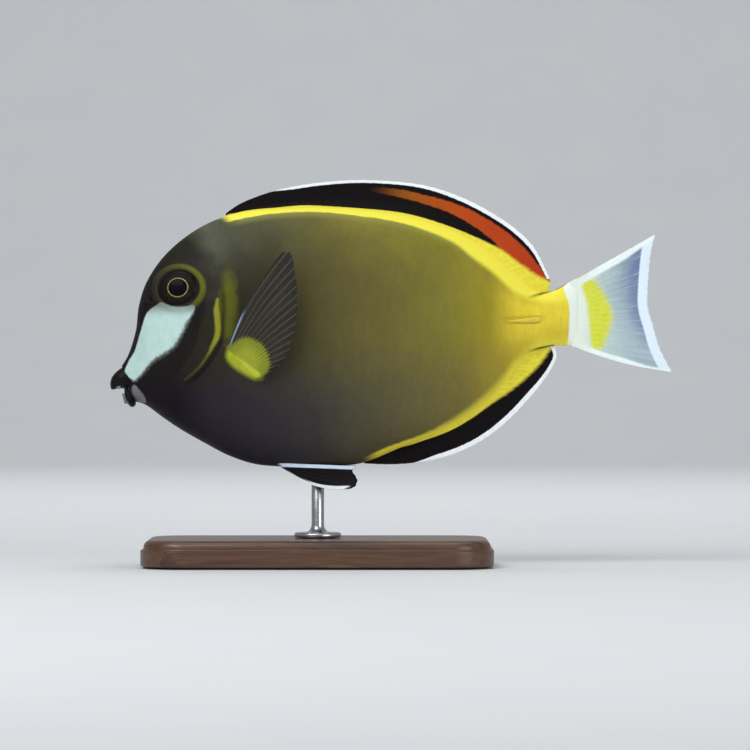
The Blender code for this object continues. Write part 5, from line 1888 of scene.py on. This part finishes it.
@dataclass
class DisplayStand:
    """A walnut base on a felt pad, and a steel rod with a round foot that goes up into the belly.

    Attributes:
        rod_behind: Where the rod is behind the snout.
        corner: The radius of the base's corners.
        edge: The base's edge from below: how far it is set in, and its height above the floor.
        felt: The same for the pad.
        rod: The foot's and the rod's profile from below: the radius, and its height above the floor.
    """

    rod_behind: float = 66.5
    base_size: Pair = (112.0, 60.0)
    base_height: float = 9.0
    corner: float = 14.0
    edge: Rows = (
        (0.9, 0.6), (0.25, 0.8), (0.0, 1.4), (0.0, 5.2), (0.12, 5.7), (0.7, 5.95), (0.95, 6.3), (1.0, 6.9),
        (1.25, 7.7), (1.8, 8.4), (2.6, 8.85), (3.4, 9.0),
    )
    felt: Rows = ((4.2, 0.0), (4.0, 0.1), (4.0, 0.62))
    rod: Rows = (
        (7.2, 9.3), (7.5, 9.55), (7.5, 10.35), (7.3, 10.7), (6.9, 10.9), (5.2, 10.95), (3.9, 11.0),
        (3.2, 11.2), (2.6, 11.65), (2.2, 12.3), (2.0, 13.1), (2.0, 38.1), (1.6, 38.5),
    )
    segments: int = 96

    def outline(self, inset: float, height: float) -> Array:
        """The base's outline, set in by a distance.

        Args:
            inset: The distance.
            height: The outline's height above the floor.

        Returns:
            Places in order.
        """
        angle = math.pi / 2 * (np.arange(4)[:, None] + np.linspace(0.0, 1.0, 17))
        signs = np.array([(1, 1), (-1, 1), (-1, -1), (1, -1)])
        middles = signs * (np.array(self.base_size) / 2 - self.corner)
        arcs = (self.corner - inset) * np.stack([np.cos(angle), np.sin(angle)], axis=2)
        spots = (middles[:, None, :] + arcs).reshape(-1, 2) + [self.rod_behind, 0.0]
        return np.insert(spots, 2, height - AXIS_HEIGHT, axis=1)

    def slab(self, edge: Rows) -> Shape:
        """A flat slab whose edge has a profile, given like that of the base."""
        return loft(np.stack([self.outline(*point) for point in edge]), (0.0, 0.0), 6)

    def base(self) -> Shape:
        """The walnut base.

        Returns:
            The closed slab, with the field that darkens the step round its edge.
        """
        inset, height = curve(self.edge, 34).T
        shape = self.slab(tuple(zip(inset.clip(0.0), height.clip(None, self.base_height))))
        shape.fields = {"edge_wear": bell(shape.places[:, 2] + AXIS_HEIGHT, 6.0, 0.5)}
        return shape

    def turned(self) -> Shape:
        """The steel rod and its foot in one.

        Returns:
            The closed solid.
        """
        angle = 2 * math.pi * np.arange(self.segments) / self.segments
        circle = np.stack([np.cos(angle), np.sin(angle), 0.0 * angle], axis=1)
        foot = np.array((self.rod_behind, 0.0, -AXIS_HEIGHT))
        rings = [foot + radius * circle + [0.0, 0.0, height] for radius, height in self.rod]
        return loft(np.stack(rings), (0.0, 0.0), 3)

    def build(self) -> None:
        """Makes the stand's three pieces."""
        walnut = WalnutFinish("oiled_walnut", Coat_Weight=0.25, Coat_Roughness=0.25).material
        dress(self.base().build("stand_walnut", walnut), Slot.WALNUT, "stand_base")
        green = FeltFinish("green_felt", Roughness=0.95, Sheen_Weight=0.5, Sheen_Roughness=0.5).material
        dress(self.slab(self.felt).build("stand_felt", green), None)
        steel = SteelFinish("turned_steel", Metallic=1.0).material
        dress(self.turned().build("stand_steel", steel), Slot.STEEL, "stand_rod")


class PaperFinish(Finish):
    """Pale grey paper, very slightly clouded."""

    def paint(self) -> None:
        """Paints the clouds."""
        clouds = self.noise(0.02, 4.0).ease(0.3, 0.7)
        self.feed(Base_Color=self.mix(clouds, tint(214, 216, 219), tint(216, 218, 220)))


@dataclass
class Studio:
    """A pale floor that curves up into a backdrop, soft lamps, and the camera of the side view, in metres.

    Attributes:
        lamps: For each lamp its name, its place, where it points, its side and its power in watts.
        frame_width: The width that the picture takes in at the fish.
        distance: How far the camera is from the fish's mid plane.
        sensor: The width of its sensor in millimetres.
        front: Where the sheet starts.
        rear: Where its curve starts.
    """

    lamps: tuple[tuple[str, Triple, Triple, float, float], ...] = (
        ("key_lamp", (-0.42, -0.62, 0.72), (0.0, 0.0, 0.07), 0.55, 5.4),
        ("fill_lamp", (0.7, -0.75, 0.22), (0.0, 0.0, 0.05), 0.6, 3.2),
        ("top_lamp", (0.05, 0.12, 0.85), (0.0, 0.0, 0.07), 0.7, 3.2),
        ("wall_lamp", (0.0, 0.7, 1.3), (0.0, 2.7, 0.35), 1.0, 16.0),
    )
    frame_width: float = 0.24
    distance: float = 1.5
    camera_x: float = -0.0052
    camera_z: float = 0.0612
    sensor: float = 36.0
    half_width: float = 2.2
    front: float = -2.4
    rear: float = 1.7
    radius: float = 1.0
    top: float = 2.6

    def build(self) -> None:
        """Makes the floor, the lamps and the camera."""
        self.backdrop()
        for lamp in self.lamps:
            self.hang(*lamp)
        world = bpy.data.worlds.new("soft_room")
        world.use_nodes = True
        background = world.node_tree.nodes["Background"]
        background.inputs["Color"].default_value = (0.92, 0.96, 1.0, 1.0)
        background.inputs["Strength"].default_value = 0.3
        bpy.context.scene.world = world
        bpy.context.scene.view_settings.view_transform = "Standard"
        camera = bpy.data.cameras.new("side_view")
        camera.sensor_width = self.sensor
        camera.lens = self.sensor * self.distance / self.frame_width
        camera.clip_end = 20.0
        holder = link("side_view", camera)
        holder.location = (self.camera_x, -self.distance, self.camera_z)
        holder.rotation_euler = (math.pi / 2, 0.0, 0.0)
        bpy.context.scene.camera = holder

    def backdrop(self) -> None:
        """Makes the floor and backdrop as one sheet with a wide curve between them."""
        turn = np.linspace(0.0, math.pi / 2, 25)
        bend = [(self.rear + self.radius * math.sin(a), self.radius * (1 - math.cos(a))) for a in turn]
        profile = [(self.front, 0.0), *bend, (self.rear + self.radius, self.top)]
        points = [(x, y, z) for y, z in profile for x in (-self.half_width, self.half_width)]
        faces = [(2 * i, 2 * i + 1, 2 * i + 3, 2 * i + 2) for i in range(len(profile) - 1)]
        mesh = bpy.data.meshes.new("studio_floor")
        mesh.from_pydata(points, [], faces)
        mesh.materials.append(PaperFinish("studio_paper", Roughness=0.8, Specular_IOR_Level=0.2).material)
        mesh.shade_smooth()
        link("studio_floor", mesh)

    def hang(self, name: str, place: Triple, target: Triple, size: float, power: float) -> None:
        """Makes one square soft lamp.

        Args:
            name: The lamp's name.
            place: Where it hangs.
            target: Where it points.
            size: Its side.
            power: Its power in watts.
        """
        light = bpy.data.lights.new(name, "AREA")
        light.size = size
        light.energy = power
        holder = link(name, light)
        holder.location = place
        holder.rotation_euler = (Vector(target) - Vector(place)).to_track_quat("-Z", "Y").to_euler()


def corners(box: tuple[Vector, Vector]) -> list[list[float]]:
    """The two corners of a box as plain lists."""
    return [list(corner) for corner in box]


def build_fins(trunk: Trunk) -> None:
    """Makes all seven fins.

    Args:
        trunk: The trunk that they grow from.
    """
    black = DorsalFinish("dorsal_web", Specular_IOR_Level=0.1).material
    dorsal = MedianFin("dorsal_fin", 39, spines=9, margin=DORSAL_MARGIN, span=(6.65, 14.0))
    dorsal.build(black, Slot.DARK_FIN)
    black = AnalFinish("anal_web", Specular_IOR_Level=0.1).material
    anal = MedianFin("anal_fin", 30, spines=3, margin=ANAL_MARGIN, span=(9.15, 14.0), belly=True)
    anal.build(black, Slot.DARK_FIN)
    tail = TailFin("tail_fin", 18, columns_per_ray=12, rows=56, web_half=0.14, root_swell=1.0, ray_radius=0.3)
    tail.build(TailFinFinish("tail_web", Specular_IOR_Level=0.25).material, Slot.TAIL_FIN)
    clear = PectoralFinish("pectoral_web", Specular_IOR_Level=0.22).material
    black = PelvicFinish("pelvic_web", Specular_IOR_Level=0.1).material
    for side in Side:
        pectoral = PectoralFin(f"pectoral_fin_{side.word}", 16, columns_per_ray=10, side=side, trunk=trunk)
        pectoral.build(clear, Slot.PECTORAL_FIN)
        pelvic = PelvicFin(f"pelvic_fin_{side.word}", 6, spines=1, columns_per_ray=12, rows=36, side=side)
        pelvic.build(black, Slot.DARK_FIN)


def main() -> None:
    """Builds the finished fish, its stand and the studio."""
    logging.basicConfig(level=logging.INFO, format="%(message)s")
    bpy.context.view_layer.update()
    make_skin_grain()
    make_tube_nodes()
    trunk = Trunk()
    trunk.build()
    gloss = {"Coat_Weight": 0.06, "Coat_Roughness": 0.04, "Coat_IOR": 1.38, "Specular_IOR_Level": 0.05}
    eye_finish = EyeFinish("eye_gloss", **gloss)
    for side in Side:
        Eye(side).build(trunk, eye_finish.material)
    Mouth().build()
    build_fins(trunk)
    horn = SpineFinish("spine_horn", Coat_Weight=0.2, Coat_Roughness=0.2)
    for side in Side:
        TailSpine(side).build(trunk, horn.material)
    DisplayStand().build()
    Studio().build()


if __name__ == "__main__":
    main()
